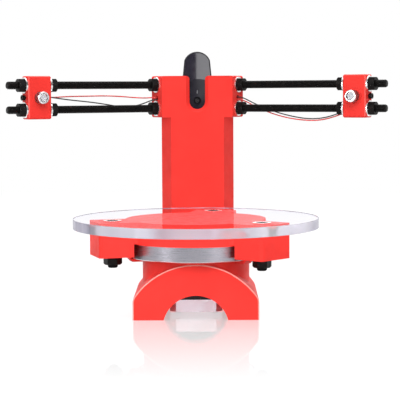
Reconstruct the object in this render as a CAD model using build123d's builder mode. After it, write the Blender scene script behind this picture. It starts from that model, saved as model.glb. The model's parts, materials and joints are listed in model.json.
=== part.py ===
"""Desktop laser scanner: a motor-driven clear turntable in front of a camera column.

Millimetres, +Z up, front towards -Y. The origin is on the floor, in the middle of
the whole object. Left and right are as seen from the front.
"""
from build123d import *
import math
import os

os.makedirs("parts", exist_ok=True)

# Clear disc and its screws
disc_diameter = 200.0
disc_thickness = 8.0
disc_edge_break = 0.4
disc_screw_length = 38.0
countersink_diameter = 15.0
hex_socket_size = 5.0
hex_socket_depth = 3.0

# Hub that carries the disc on the bearing's outer ring
hub_plate_thickness = 10.0
hub_lip_width = 2.0
hub_lip_drop = 0.8
hub_recess_depth = 1.0
hub_seat_width = 4.5
hub_boss_diameter = 22.0
hub_boss_grip = 17.0
lug_count = 3
lug_tip = 15.0
lug_width = 35.5
lug_height = 20.5
lug_corner_radius = 3.0
lug_root_radius = 4.0
lug_gap = 2.0
first_lug_angle = -42.0
hook_width = 9.0
hook_thickness = 2.7
hook_bite = 9.0
hook_gap = 0.3
hook_root = 1.0
screw_setback = 10.3

# Thin ball bearing
bearing_bore = 70.0
bearing_outer = 110.0
bearing_width = 13.0
bearing_chamfer = 0.6
ball_diameter = 10.4
ball_count = 14
ball_clearance = 0.15
cage_thickness = 2.4
cage_side_gap = 2.0
cage_end_gap = 0.3

# Stepper motor
motor_floor_gap = 3.2
motor_width = 42.3
motor_corner = 5.0
motor_length = 40.0
motor_bell_length = 9.7
motor_screw_spacing = 31.0
motor_pilot_diameter = 22.0
motor_pilot_height = 2.0
shaft_diameter = 5.0
shaft_stickout = 22.0
shaft_flat = 0.5
rotor_diameter = 25.6
rotor_gap = 0.5
motor_bearing_diameter = 13.0
motor_bearing_width = 4.0
motor_shaft_gap = 0.7
motor_screw_head = 2.0
motor_screw_bite = 2.0
mount_screw_bite = 5.0
rotor_end_gap = 1.3
shaft_end_gap = 1.0
stator_step = 0.2
motor_socket_width = 16.0
motor_socket_height = 6.0
motor_socket_depth = 5.5
motor_socket_cavity = 4.0
socket_wall = 0.8

# Base casting under the turntable
base_width = 100.0
base_length = 88.0
base_shoulder_height = 16.5
base_crown_height = 44.0
base_shoulder_radius = 9.0
base_edge_radius = 1.2
arch_width = 51.0
arch_height = 19.4
roof_thickness = 3.3
collar_gap = 2.5
collar_step = 0.7
bearing_shoulder_width = 3.0
spigot_wall = 5.0
spigot_gap = 0.5
motor_pocket_gap = 0.4

# Link rods from base to column
link_rod_spacing = 60.0
link_rod_height = 16.0
link_bore_depth = 60.0
link_trap_depth = 13.0
link_rod_start_gap = 1.0
link_rod_stub = 3.0

# Metric fasteners
rod_diameter = 8.0
rod_hole_gap = 0.1
rod_point = 0.8
nut_flats = 13.0
nut_height = 6.5
disc_nut_height = 7.0
nut_bore_gap = 0.05
washer_diameter = 16.0
washer_thickness = 1.6
small_screw = 3.0
small_head = 5.5
small_head_height = 3.0
small_hole_gap = 0.05
small_socket_size = 2.4
running_gap = 0.05

# Column and its head
axis_to_column = 334.0
column_depth = 46.0
column_front_width = 55.0
band_reach = 10.3
band_angle = 30.0
column_wall = 4.0
head_bottom = 152.8
head_height = 43.2
head_front_width = 73.5
head_band_reach = 11.25
head_wall = 5.0
head_plate = 2.0
head_edge_radius = 2.0
slot_width = 16.3
slot_bottom = 161.4
slot_bevel = 3.4
slot_lip_radius = 3.5
plinth_width = 84.0
plinth_height = 34.0
plinth_floor = 4.0
plinth_wall = 5.0
plinth_side_wall = 3.0
plinth_corner_radius = 4.0

# Laser arms
arm_rod_spacing = 24.5
arm_rod_inside = 22.0
arm_holder_start = 123.7
arm_stub = 11.5
wire_hole_diameter = 5.6
wire_hole_drop = 1.5
holder_length = 25.0
holder_depth = 17.0
holder_height = 43.2
holder_edge_radius = 2.0

# Laser modules
laser_diameter = 12.0
laser_front_reach = 9.5
laser_back_reach = 4.5
laser_groove_depth = 0.6
laser_groove_width = 0.8
laser_mouth_diameter = 8.6
laser_mouth_depth = 3.0
lens_size = 5.6
lens_thickness = 1.8
boot_diameter = 10.4
boot_length = 2.5
clamp_head_gap = 1.0
laser_groove_spacing = 2.0
laser_first_groove = 1.6
laser_groove_count = 3
lens_tilt = 35.0

# Webcam
webcam_width = 30.0
webcam_side_height = 47.0
webcam_taper_height = 16.0
webcam_crown_rise = 9.0
webcam_depth = 20.0
webcam_taper = 1.6
webcam_arch_rise = 3.0
webcam_back_radius = 2.0
webcam_rim = 1.2
faceplate_thickness = 2.0
faceplate_gap = 0.1
webcam_bottom = 149.0
lens_height = 21.3
lens_plate_top = 43.5
lens_ring_diameter = 7.7
lens_ring_height = 0.8
lens_ring_chamfer = 0.4
lens_glass_diameter = 4.2
mic_slot_height = 4.0
mic_slot_width = 1.2
mic_slot_rise = 9.0
shelf_thickness = 4.0
shelf_width = 36.0
shelf_depth = 22.0
guide_rib_width = 3.0
guide_rib_depth = 12.0
guide_rib_gap = 0.3

# Controller in the back of the column
board_width = 53.4
board_height = 68.6
board_thickness = 1.6
board_bottom = 62.0
board_hole_width = 46.0
board_hole_height = 60.0
boss_diameter = 6.0
boss_height = 7.0
board_screw_end_gap = 1.0
shield_height = 55.6
header_height = 8.5
header_width = 2.5
header_length = 50.0
header_spacing = 48.0
socket_height = 11.0
usb_x = -13.0
usb_width = 12.0
usb_length = 16.0
usb_overhang = 6.0
usb_cavity_depth = 12.0
usb_tongue_width = 6.0
usb_tongue_thickness = 2.4
jack_x = 14.5
jack_width = 9.0
jack_length = 14.0
jack_overhang = 2.0
jack_bore = 6.2
jack_bore_depth = 11.0
jack_pin = 2.0
socket_setback = 4.5
button_body_size = 6.0
button_body_height = 3.5
button_diameter = 3.4
button_reach = 1.6
button_travel = 0.3
button_well_depth = 2.0
button_edge_break = 0.2
button_well_gap = 0.05
button_rise = 5.0
driver_width = 15.0
driver_height = 20.0
driver_rise = 31.0
driver_leg_width = 2.5
driver_leg_height = 2.5
driver_chip_size = 5.0
driver_chip_height = 1.0
sink_width = 9.0
sink_base = 1.4
sink_fin_height = 4.6
sink_fin_count = 5
sink_fin_thickness = 0.8
terminal_width = 10.2
terminal_height = 8.0
terminal_depth = 10.0
terminal_spacing = 24.0
terminal_setback = 6.6
motor_header_gap = 4.25
motor_header_width = 10.2
motor_header_height = 2.5
pin_size = 0.64
pin_height = 6.0
pin_pitch = 2.54
pin_count = 4

# Laser wires
wire_diameter = 1.3

# Derived heights at the turntable
motor_face = motor_floor_gap + motor_length
bearing_bottom = motor_face + roof_thickness
bearing_top = bearing_bottom + bearing_width
disc_bottom = bearing_top + hub_plate_thickness
disc_top = disc_bottom + disc_thickness
lug_bottom = disc_bottom - lug_height
ring_radius = bearing_outer / 2
ring_thickness = (bearing_outer - bearing_bore) / 4 - cage_thickness / 2 - cage_side_gap
hub_radius = ring_radius + running_gap + hub_lip_width
lug_start = ring_radius + lug_gap
screw_radius = lug_start + hook_thickness + screw_setback
lug_reach = screw_radius + lug_tip
collar_diameter = bearing_outer - 2 * (hook_bite + collar_gap)
hole_diameter = rod_diameter + 2 * rod_hole_gap
nut_corner = nut_flats / 2 / math.cos(math.radians(30))

# Derived places: the origin is in the middle of the whole depth
overall_depth = disc_diameter / 2 + axis_to_column + column_depth
axis_y = (disc_diameter - overall_depth) / 2
column_y = axis_y + axis_to_column
column_back = column_y + column_depth
turn = Plane((0, axis_y, 0))
turn_axis = Axis((0, axis_y, 0), (0, 0, 1))
turn_section = Plane((0, axis_y, 0), x_dir=(1, 0, 0), z_dir=(0, -1, 0))

# Derived places of the head and the arms
band_sin = math.sin(math.radians(band_angle))
band_cos = math.cos(math.radians(band_angle))
band_tan = band_sin / band_cos
head_top = head_bottom + head_height
arm_height = head_bottom + head_height / 2
arm_root_x = head_front_width / 2 + head_band_reach / 2
arm_root_y = column_y + head_band_reach / 2 / band_tan
arm_holder_middle = arm_holder_start + holder_length / 2
arm_length = arm_holder_start + holder_length + washer_thickness + nut_height + arm_stub
SIDES = {"left": -1, "right": 1}


def keep(part, name):
    """Label one finished sub-part and write it as its own file."""
    part.label = name
    export_step(part, f"parts/{name}.step")


def arm_plane(side, along=0.0, rise=0.0):
    """Plane square to an arm: local Z points out along it, local X to the turntable."""
    origin = (
        side * (arm_root_x + along * band_cos),
        arm_root_y - along * band_sin,
        arm_height + rise,
    )
    return Plane(origin, x_dir=(-side * band_sin, -band_cos, 0), z_dir=(side * band_cos, -band_sin, 0))


def arm_point(side, along, toward, rise):
    """A point near an arm: out along it, towards the turntable from it, and above it."""
    spot = arm_plane(side, along, rise)
    return spot.origin + spot.x_dir * toward


def laser_plane(side, reach=0.0):
    """Plane square to a laser: local Z points at the turntable, local Y up."""
    middle = arm_plane(side, arm_holder_middle).origin
    forward = Vector(-side * band_sin, -band_cos, 0)
    return Plane(middle + forward * reach, x_dir=(band_cos, -side * band_sin, 0), z_dir=forward)


def wall_plane(y):
    """Upright plane that faces the front: local X and Y are the object's X and Z."""
    return Plane((0, y, 0), x_dir=(1, 0, 0), z_dir=(0, -1, 0))


def band_outline(front_half, reach, inset=0.0):
    """Plan of the column: a flat front, two slanted bands and straight sides."""
    half = front_half - inset * (1 - band_sin) / band_cos
    outer = front_half + reach - inset
    front = column_y + inset
    shoulder = front + (outer - half) / band_tan
    return [
        (-outer, column_back),
        (-outer, shoulder),
        (-half, front),
        (half, front),
        (outer, shoulder),
        (outer, column_back),
    ]


def hex_nut(height, start):
    """One hexagonal nut with its corners turned down, standing on the given plane."""
    with BuildPart() as nut:
        with BuildSketch(start):
            RegularPolygon(nut_flats / 2, 6, major_radius=False)
            Circle(rod_diameter / 2 + nut_bore_gap, mode=Mode.SUBTRACT)
        extrude(amount=height)
        with BuildSketch(start):
            Circle(nut_corner)
        turned = extrude(amount=height, mode=Mode.PRIVATE)
        rims = turned.edges().filter_by(GeomType.CIRCLE)
        add(turned.chamfer(nut_corner - nut_flats / 2, None, rims), mode=Mode.INTERSECT)
    return nut.part


def flat_washer(start):
    """One flat washer standing on the given plane."""
    with BuildPart() as washer:
        with BuildSketch(start):
            Circle(washer_diameter / 2)
            Circle(rod_diameter / 2 + rod_hole_gap, mode=Mode.SUBTRACT)
        extrude(amount=washer_thickness)
    return washer.part


def threaded_rod(start, length):
    """A rod with pointed-off ends, from the given plane along its normal."""
    with BuildPart() as rod:
        with BuildSketch(start):
            Circle(rod_diameter / 2)
        extrude(amount=length)
        chamfer(rod.edges().filter_by(GeomType.CIRCLE), rod_point)
    return rod.part


def group(parts):
    """Several separate solids held as one node."""
    with BuildPart() as pieces:
        for piece in parts:
            add(piece)
    return pieces.part


# Turntable disc
with BuildPart() as disc:
    with BuildSketch(turn.offset(disc_bottom)):
        Circle(disc_diameter / 2)
    extrude(amount=disc_thickness)
    chamfer(disc.edges().filter_by(GeomType.CIRCLE), disc_edge_break)
    with Locations(turn.offset(disc_top)):
        with PolarLocations(screw_radius, lug_count, start_angle=first_lug_angle):
            CounterSinkHole(
                hole_diameter / 2,
                countersink_diameter / 2 + rod_hole_gap,
                counter_sink_angle=90,
            )
keep(disc.part, "clear_disc")

# Disc screws, flush in the disc
screw_cone = (countersink_diameter - rod_diameter) / 2
with BuildPart() as disc_screws:
    with Locations(turn.offset(disc_top)):
        with PolarLocations(screw_radius, lug_count, start_angle=first_lug_angle):
            Cylinder(rod_diameter / 2, disc_screw_length, align=(Align.CENTER, Align.CENTER, Align.MAX))
            Cone(
                rod_diameter / 2,
                countersink_diameter / 2,
                screw_cone,
                align=(Align.CENTER, Align.CENTER, Align.MAX),
            )
    with BuildSketch(turn.offset(disc_top)):
        with PolarLocations(screw_radius, lug_count, start_angle=first_lug_angle):
            RegularPolygon(hex_socket_size / 2, 6, major_radius=False)
    extrude(amount=-hex_socket_depth, mode=Mode.SUBTRACT)
    tips = disc_screws.edges().filter_by(GeomType.CIRCLE).group_by(Axis.Z)[0]
    chamfer(tips, rod_point)
keep(disc_screws.part, "disc_screws")

lug_directions = [math.radians(first_lug_angle + 360 / lug_count * k) for k in range(lug_count)]
nut_planes = [
    Plane(
        (screw_radius * math.cos(a), axis_y + screw_radius * math.sin(a), lug_bottom),
        z_dir=(0, 0, -1),
    )
    for a in lug_directions
]
keep(group([hex_nut(disc_nut_height, spot) for spot in nut_planes]), "disc_nuts")

# Hub with three lugs that hold the bearing's outer ring
seat_radius = ring_radius - hub_seat_width
boss_bottom = motor_face + shaft_stickout - hub_boss_grip
with BuildPart() as hub:
    with BuildSketch(turn.offset(bearing_top)) as plate:
        Circle(hub_radius)
        with PolarLocations(0, lug_count, start_angle=first_lug_angle):
            with Locations((lug_reach / 2, 0)):
                Rectangle(lug_reach, lug_width)
        roots = plate.vertices().filter_by(lambda v: math.hypot(v.X, v.Y) < hub_radius + lug_gap)
        fillet(roots, lug_root_radius)
        tips = plate.vertices().filter_by(lambda v: math.hypot(v.X, v.Y) > lug_reach)
        fillet(tips, lug_corner_radius)
    extrude(amount=hub_plate_thickness)
    with BuildSketch(turn.offset(lug_bottom)) as feet:
        with PolarLocations(0, lug_count, start_angle=first_lug_angle):
            with Locations(((lug_reach + lug_start) / 2, 0)):
                Rectangle(lug_reach - lug_start, lug_width)
        tips = feet.vertices().filter_by(lambda v: math.hypot(v.X, v.Y) > lug_reach)
        fillet(tips, lug_corner_radius)
    extrude(amount=bearing_top - lug_bottom)
    with BuildSketch(turn.offset(bearing_top - hub_lip_drop)):
        Circle(hub_radius)
        Circle(ring_radius + running_gap, mode=Mode.SUBTRACT)
    extrude(amount=hub_lip_drop)
    with BuildSketch(turn.offset(bearing_top)):
        Circle(seat_radius)
    extrude(amount=hub_recess_depth, mode=Mode.SUBTRACT)
    # Hooks under the outer ring, one on each lug's middle line
    for angle in lug_directions:
        outward = (math.cos(angle), math.sin(angle), 0)
        sideways = (math.sin(angle), -math.cos(angle), 0)
        with BuildSketch(Plane(turn.origin, x_dir=outward, z_dir=sideways)):
            Polygon(
                (lug_start + hook_thickness, lug_bottom + hook_root),
                (lug_start + hook_thickness, lug_bottom),
                (ring_radius - hook_gap, bearing_bottom - hook_thickness),
                (ring_radius - hook_bite, bearing_bottom - hook_thickness),
                (ring_radius - hook_bite, bearing_bottom),
                (ring_radius + hook_gap, bearing_bottom),
                (ring_radius + hook_gap, lug_bottom + hook_root),
                align=None,
            )
        extrude(amount=hook_width / 2, both=True)
    # Boss that reaches down inside the bearing and takes the motor shaft
    with BuildSketch(turn.offset(boss_bottom)):
        Circle(hub_boss_diameter / 2)
    extrude(amount=bearing_top + hub_recess_depth - boss_bottom)
    with BuildSketch(turn.offset(boss_bottom)) as bore:
        Circle(shaft_diameter / 2 + running_gap)
        with Locations((0, shaft_diameter - shaft_flat + running_gap)):
            Rectangle(shaft_diameter, shaft_diameter, mode=Mode.SUBTRACT)
    extrude(amount=motor_face + shaft_stickout + shaft_flat - boss_bottom, mode=Mode.SUBTRACT)
    with Locations(turn.offset(disc_bottom)):
        with PolarLocations(screw_radius, lug_count, start_angle=first_lug_angle):
            Hole(hole_diameter / 2)
keep(hub.part, "hub")

# Ball bearing, its outer ring turning with the hub
ball_pitch = (bearing_bore + bearing_outer) / 4
bearing_middle = bearing_bottom + bearing_width / 2
groove_radius = ball_diameter / 2 + ball_clearance


def bearing_ring(inner, outer, rim):
    """One bearing ring with its ball groove and its two chamfered rims."""
    with BuildPart() as ring:
        with BuildSketch(turn_section) as section:
            with Locations(((inner + outer) / 2, bearing_middle)):
                Rectangle(outer - inner, bearing_width)
            chamfer(section.vertices().filter_by(lambda v: abs(v.X - rim) < 0.01), bearing_chamfer)
            with Locations((ball_pitch, bearing_middle)):
                Circle(groove_radius, mode=Mode.SUBTRACT)
        revolve(axis=turn_axis)
    return ring.part


inner_ring_outside = bearing_bore / 2 + ring_thickness
outer_ring_inside = ring_radius - ring_thickness
keep(bearing_ring(bearing_bore / 2, inner_ring_outside, bearing_bore / 2), "bearing_inner_ring")
keep(bearing_ring(outer_ring_inside, ring_radius, ring_radius), "bearing_outer_ring")

with BuildPart() as balls:
    with Locations(turn.offset(bearing_middle)):
        with PolarLocations(ball_pitch, ball_count):
            Sphere(ball_diameter / 2)
keep(balls.part, "bearing_balls")

with BuildPart() as cage:
    with BuildSketch(turn.offset(bearing_bottom + cage_end_gap)):
        Circle(ball_pitch + cage_thickness / 2)
        Circle(ball_pitch - cage_thickness / 2, mode=Mode.SUBTRACT)
    extrude(amount=bearing_width - 2 * cage_end_gap)
    with Locations(turn.offset(bearing_middle)):
        with PolarLocations(ball_pitch, ball_count):
            Cylinder(groove_radius, 2 * cage_thickness, rotation=(0, 90, 0), mode=Mode.SUBTRACT)
keep(cage.part, "ball_cage")

# Stepper motor under the turntable
rear_bell_top = motor_floor_gap + motor_bell_length
front_bell_bottom = motor_face - motor_bell_length
screw_hole = small_screw / 2 + small_hole_gap
shaft_hole = shaft_diameter / 2 + motor_shaft_gap


def motor_block(bottom, height, trim=0.0):
    """A square motor section with its corners cut off and its four screw holes."""
    with BuildPart() as block:
        with BuildSketch(turn.offset(bottom)) as section:
            Rectangle(motor_width - 2 * trim, motor_width - 2 * trim)
            chamfer(section.vertices(), motor_corner)
            with GridLocations(motor_screw_spacing, motor_screw_spacing, 2, 2):
                Circle(screw_hole, mode=Mode.SUBTRACT)
        extrude(amount=height)
    return block.part


with BuildPart() as rear_bell:
    add(motor_block(motor_floor_gap, motor_bell_length))
    with BuildSketch(turn.offset(motor_floor_gap)):
        with GridLocations(motor_screw_spacing, motor_screw_spacing, 2, 2):
            Circle(small_head / 2 + small_hole_gap)
    extrude(amount=motor_screw_head + small_hole_gap, mode=Mode.SUBTRACT)
    with BuildSketch(turn.offset(rear_bell_top - motor_bearing_width)):
        Circle(motor_bearing_diameter / 2 + small_hole_gap)
    extrude(amount=motor_bearing_width, mode=Mode.SUBTRACT)
    with BuildSketch(turn.offset(rear_bell_top - motor_bearing_width)):
        Circle(shaft_hole)
    extrude(amount=-motor_bearing_width / 2, mode=Mode.SUBTRACT)
keep(rear_bell.part, "motor_rear_bell")

with BuildPart() as stack:
    add(motor_block(rear_bell_top, front_bell_bottom - rear_bell_top, trim=stator_step))
    with BuildSketch(turn.offset(rear_bell_top)):
        Circle(rotor_diameter / 2 + rotor_gap)
    extrude(amount=front_bell_bottom - rear_bell_top, mode=Mode.SUBTRACT)
keep(stack.part, "motor_stator")

with BuildPart() as front_bell:
    add(motor_block(front_bell_bottom, motor_bell_length))
    with BuildSketch(turn.offset(motor_face)):
        Circle(motor_pilot_diameter / 2)
    extrude(amount=motor_pilot_height)
    with BuildSketch(turn.offset(front_bell_bottom)):
        Circle(motor_bearing_diameter / 2 + small_hole_gap)
    extrude(amount=motor_bearing_width, mode=Mode.SUBTRACT)
    with BuildSketch(turn.offset(front_bell_bottom)):
        Circle(shaft_hole)
    extrude(amount=motor_bell_length + motor_pilot_height, mode=Mode.SUBTRACT)
keep(front_bell.part, "motor_front_bell")

with BuildPart() as motor_bearings:
    for bottom in (rear_bell_top - motor_bearing_width, front_bell_bottom):
        with BuildSketch(turn.offset(bottom)):
            Circle(motor_bearing_diameter / 2)
            Circle(shaft_diameter / 2 + running_gap, mode=Mode.SUBTRACT)
        extrude(amount=motor_bearing_width)
keep(motor_bearings.part, "motor_bearings")

shaft_bottom = rear_bell_top - motor_bearing_width - shaft_end_gap
with BuildPart() as rotor:
    with BuildSketch(turn.offset(shaft_bottom)):
        Circle(shaft_diameter / 2)
    extrude(amount=motor_face + shaft_stickout - shaft_bottom)
    with BuildSketch(turn.offset(motor_face + motor_pilot_height)):
        with Locations((0, shaft_diameter - shaft_flat)):
            Rectangle(shaft_diameter, shaft_diameter)
    extrude(amount=shaft_stickout, mode=Mode.SUBTRACT)
    with BuildSketch(turn.offset(rear_bell_top + rotor_end_gap)):
        Circle(rotor_diameter / 2)
    extrude(amount=front_bell_bottom - rear_bell_top - 2 * rotor_end_gap)
keep(rotor.part, "motor_rotor")

with BuildPart() as motor_screws:
    with BuildSketch(turn.offset(motor_floor_gap + small_hole_gap)):
        with GridLocations(motor_screw_spacing, motor_screw_spacing, 2, 2):
            Circle(small_head / 2)
    extrude(amount=motor_screw_head)
    with BuildSketch(turn.offset(motor_floor_gap + small_hole_gap)):
        with GridLocations(motor_screw_spacing, motor_screw_spacing, 2, 2):
            Circle(small_screw / 2)
    extrude(amount=front_bell_bottom + motor_screw_bite - motor_floor_gap)
keep(motor_screws.part, "motor_screws")

with BuildPart() as mount_screws:
    with BuildSketch(turn.offset(bearing_bottom)):
        with GridLocations(motor_screw_spacing, motor_screw_spacing, 2, 2):
            Circle(small_head / 2)
    extrude(amount=small_head_height)
    with BuildSketch(turn.offset(bearing_bottom + small_head_height)):
        with GridLocations(motor_screw_spacing, motor_screw_spacing, 2, 2):
            RegularPolygon(small_socket_size / 2, 6, major_radius=False)
    extrude(amount=-small_head_height / 2, mode=Mode.SUBTRACT)
    with BuildSketch(turn.offset(bearing_bottom)):
        with GridLocations(motor_screw_spacing, motor_screw_spacing, 2, 2):
            Circle(small_screw / 2)
    extrude(amount=-roof_thickness - mount_screw_bite)
keep(mount_screws.part, "mount_screws")

# White socket for the motor lead, on the back of the rear bell
with BuildPart() as motor_socket:
    socket_middle = (0, motor_floor_gap + motor_bell_length / 2)
    with BuildSketch(wall_plane(axis_y + motor_width / 2)):
        with Locations(socket_middle):
            Rectangle(motor_socket_width, motor_socket_height)
    extrude(amount=-motor_socket_depth)
    with BuildSketch(wall_plane(axis_y + motor_width / 2 + motor_socket_depth)):
        with Locations(socket_middle):
            Rectangle(motor_socket_width - 2 * socket_wall, motor_socket_height - 2 * socket_wall)
    extrude(amount=motor_socket_cavity, mode=Mode.SUBTRACT)
keep(motor_socket.part, "motor_socket")

# Base casting: a vault with an arch through it, a round collar and a spigot
base_front = axis_y - base_length / 2
base_back = axis_y + base_length / 2
collar_top = bearing_bottom - collar_step
collar_bottom = arch_height + collar_step
with BuildPart() as base:
    with BuildSketch(wall_plane(base_front)) as vault:
        with BuildLine():
            side = Line((base_width / 2, base_shoulder_height), (base_width / 2, 0))
            Line(side @ 1, (-base_width / 2, 0))
            other = Line((-base_width / 2, 0), (-base_width / 2, base_shoulder_height))
            ThreePointArc(other @ 1, (0, base_crown_height), side @ 0)
        make_face()
        shoulders = vault.vertices().filter_by(lambda v: abs(v.Y - base_shoulder_height) < 0.01)
        fillet(shoulders, base_shoulder_radius)
    extrude(amount=-base_length)
    for end in (0, -1):
        rim = base.faces().sort_by(Axis.Y)[end].edges().filter_by(lambda e: e.center().Z > base_edge_radius)
        fillet(rim, base_edge_radius)
    with BuildSketch(wall_plane(base_front)):
        with BuildLine():
            foot = Line((-arch_width / 2, 0), (arch_width / 2, 0))
            ThreePointArc(foot @ 1, (0, arch_height), foot @ 0)
        make_face()
    extrude(amount=-base_length, mode=Mode.SUBTRACT)
    with BuildSketch(turn.offset(collar_bottom)):
        Circle(collar_diameter / 2)
    extrude(amount=collar_top - collar_bottom)
    with BuildSketch(turn.offset(collar_top)):
        Circle(bearing_bore / 2 + bearing_shoulder_width)
    extrude(amount=collar_step)
    with BuildSketch(turn.offset(bearing_bottom)):
        Circle(bearing_bore / 2 - running_gap)
        Circle(bearing_bore / 2 - spigot_wall, mode=Mode.SUBTRACT)
    extrude(amount=bearing_width - spigot_gap)
    with BuildSketch(turn):
        Rectangle(motor_width + 2 * motor_pocket_gap, motor_width + 2 * motor_pocket_gap)
    extrude(amount=motor_face, mode=Mode.SUBTRACT)
    with BuildSketch(turn.offset(motor_face)):
        Circle(motor_pilot_diameter / 2 + small_hole_gap)
        with GridLocations(motor_screw_spacing, motor_screw_spacing, 2, 2):
            Circle(screw_hole)
    extrude(amount=roof_thickness, mode=Mode.SUBTRACT)
    # Blind bores for the two link rods and the traps for their nuts
    with BuildSketch(wall_plane(base_back)):
        with Locations((-link_rod_spacing / 2, link_rod_height), (link_rod_spacing / 2, link_rod_height)):
            Circle(hole_diameter / 2)
    extrude(amount=link_bore_depth, mode=Mode.SUBTRACT)
    trap_top = link_rod_height + nut_corner + rod_hole_gap
    with BuildSketch(wall_plane(base_back - link_trap_depth + rod_hole_gap)):
        with Locations((-link_rod_spacing / 2, trap_top / 2), (link_rod_spacing / 2, trap_top / 2)):
            Rectangle(nut_flats + 2 * rod_hole_gap, trap_top)
    extrude(amount=nut_height + 2 * rod_hole_gap, mode=Mode.SUBTRACT)
keep(base.part, "base_housing")

# Link rods with their nuts and washers
link_rod_end = column_y + plinth_wall + washer_thickness + nut_height + link_rod_stub
link_start = base_back - link_bore_depth + link_rod_start_gap


def link_plane(x, y):
    """Plane square to a link rod, facing the back, with its local X up."""
    return Plane((x, y, link_rod_height), x_dir=(0, 0, 1), z_dir=(0, 1, 0))


link_columns = (-link_rod_spacing / 2, link_rod_spacing / 2)
link_length = link_rod_end - link_start
keep(group([threaded_rod(link_plane(x, link_start), link_length) for x in link_columns]), "link_rods")
link_nut_starts = (
    base_back - link_trap_depth - nut_height,
    base_back + washer_thickness,
    column_y - washer_thickness - nut_height,
    column_y + plinth_wall + washer_thickness,
)
link_nuts = [hex_nut(nut_height, link_plane(x, y)) for x in link_columns for y in link_nut_starts]
keep(group(link_nuts), "link_nuts")
link_washer_starts = (base_back, column_y - washer_thickness, column_y + plinth_wall)
link_washers = [flat_washer(link_plane(x, y)) for x in link_columns for y in link_washer_starts]
keep(group(link_washers), "link_washers")

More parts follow.
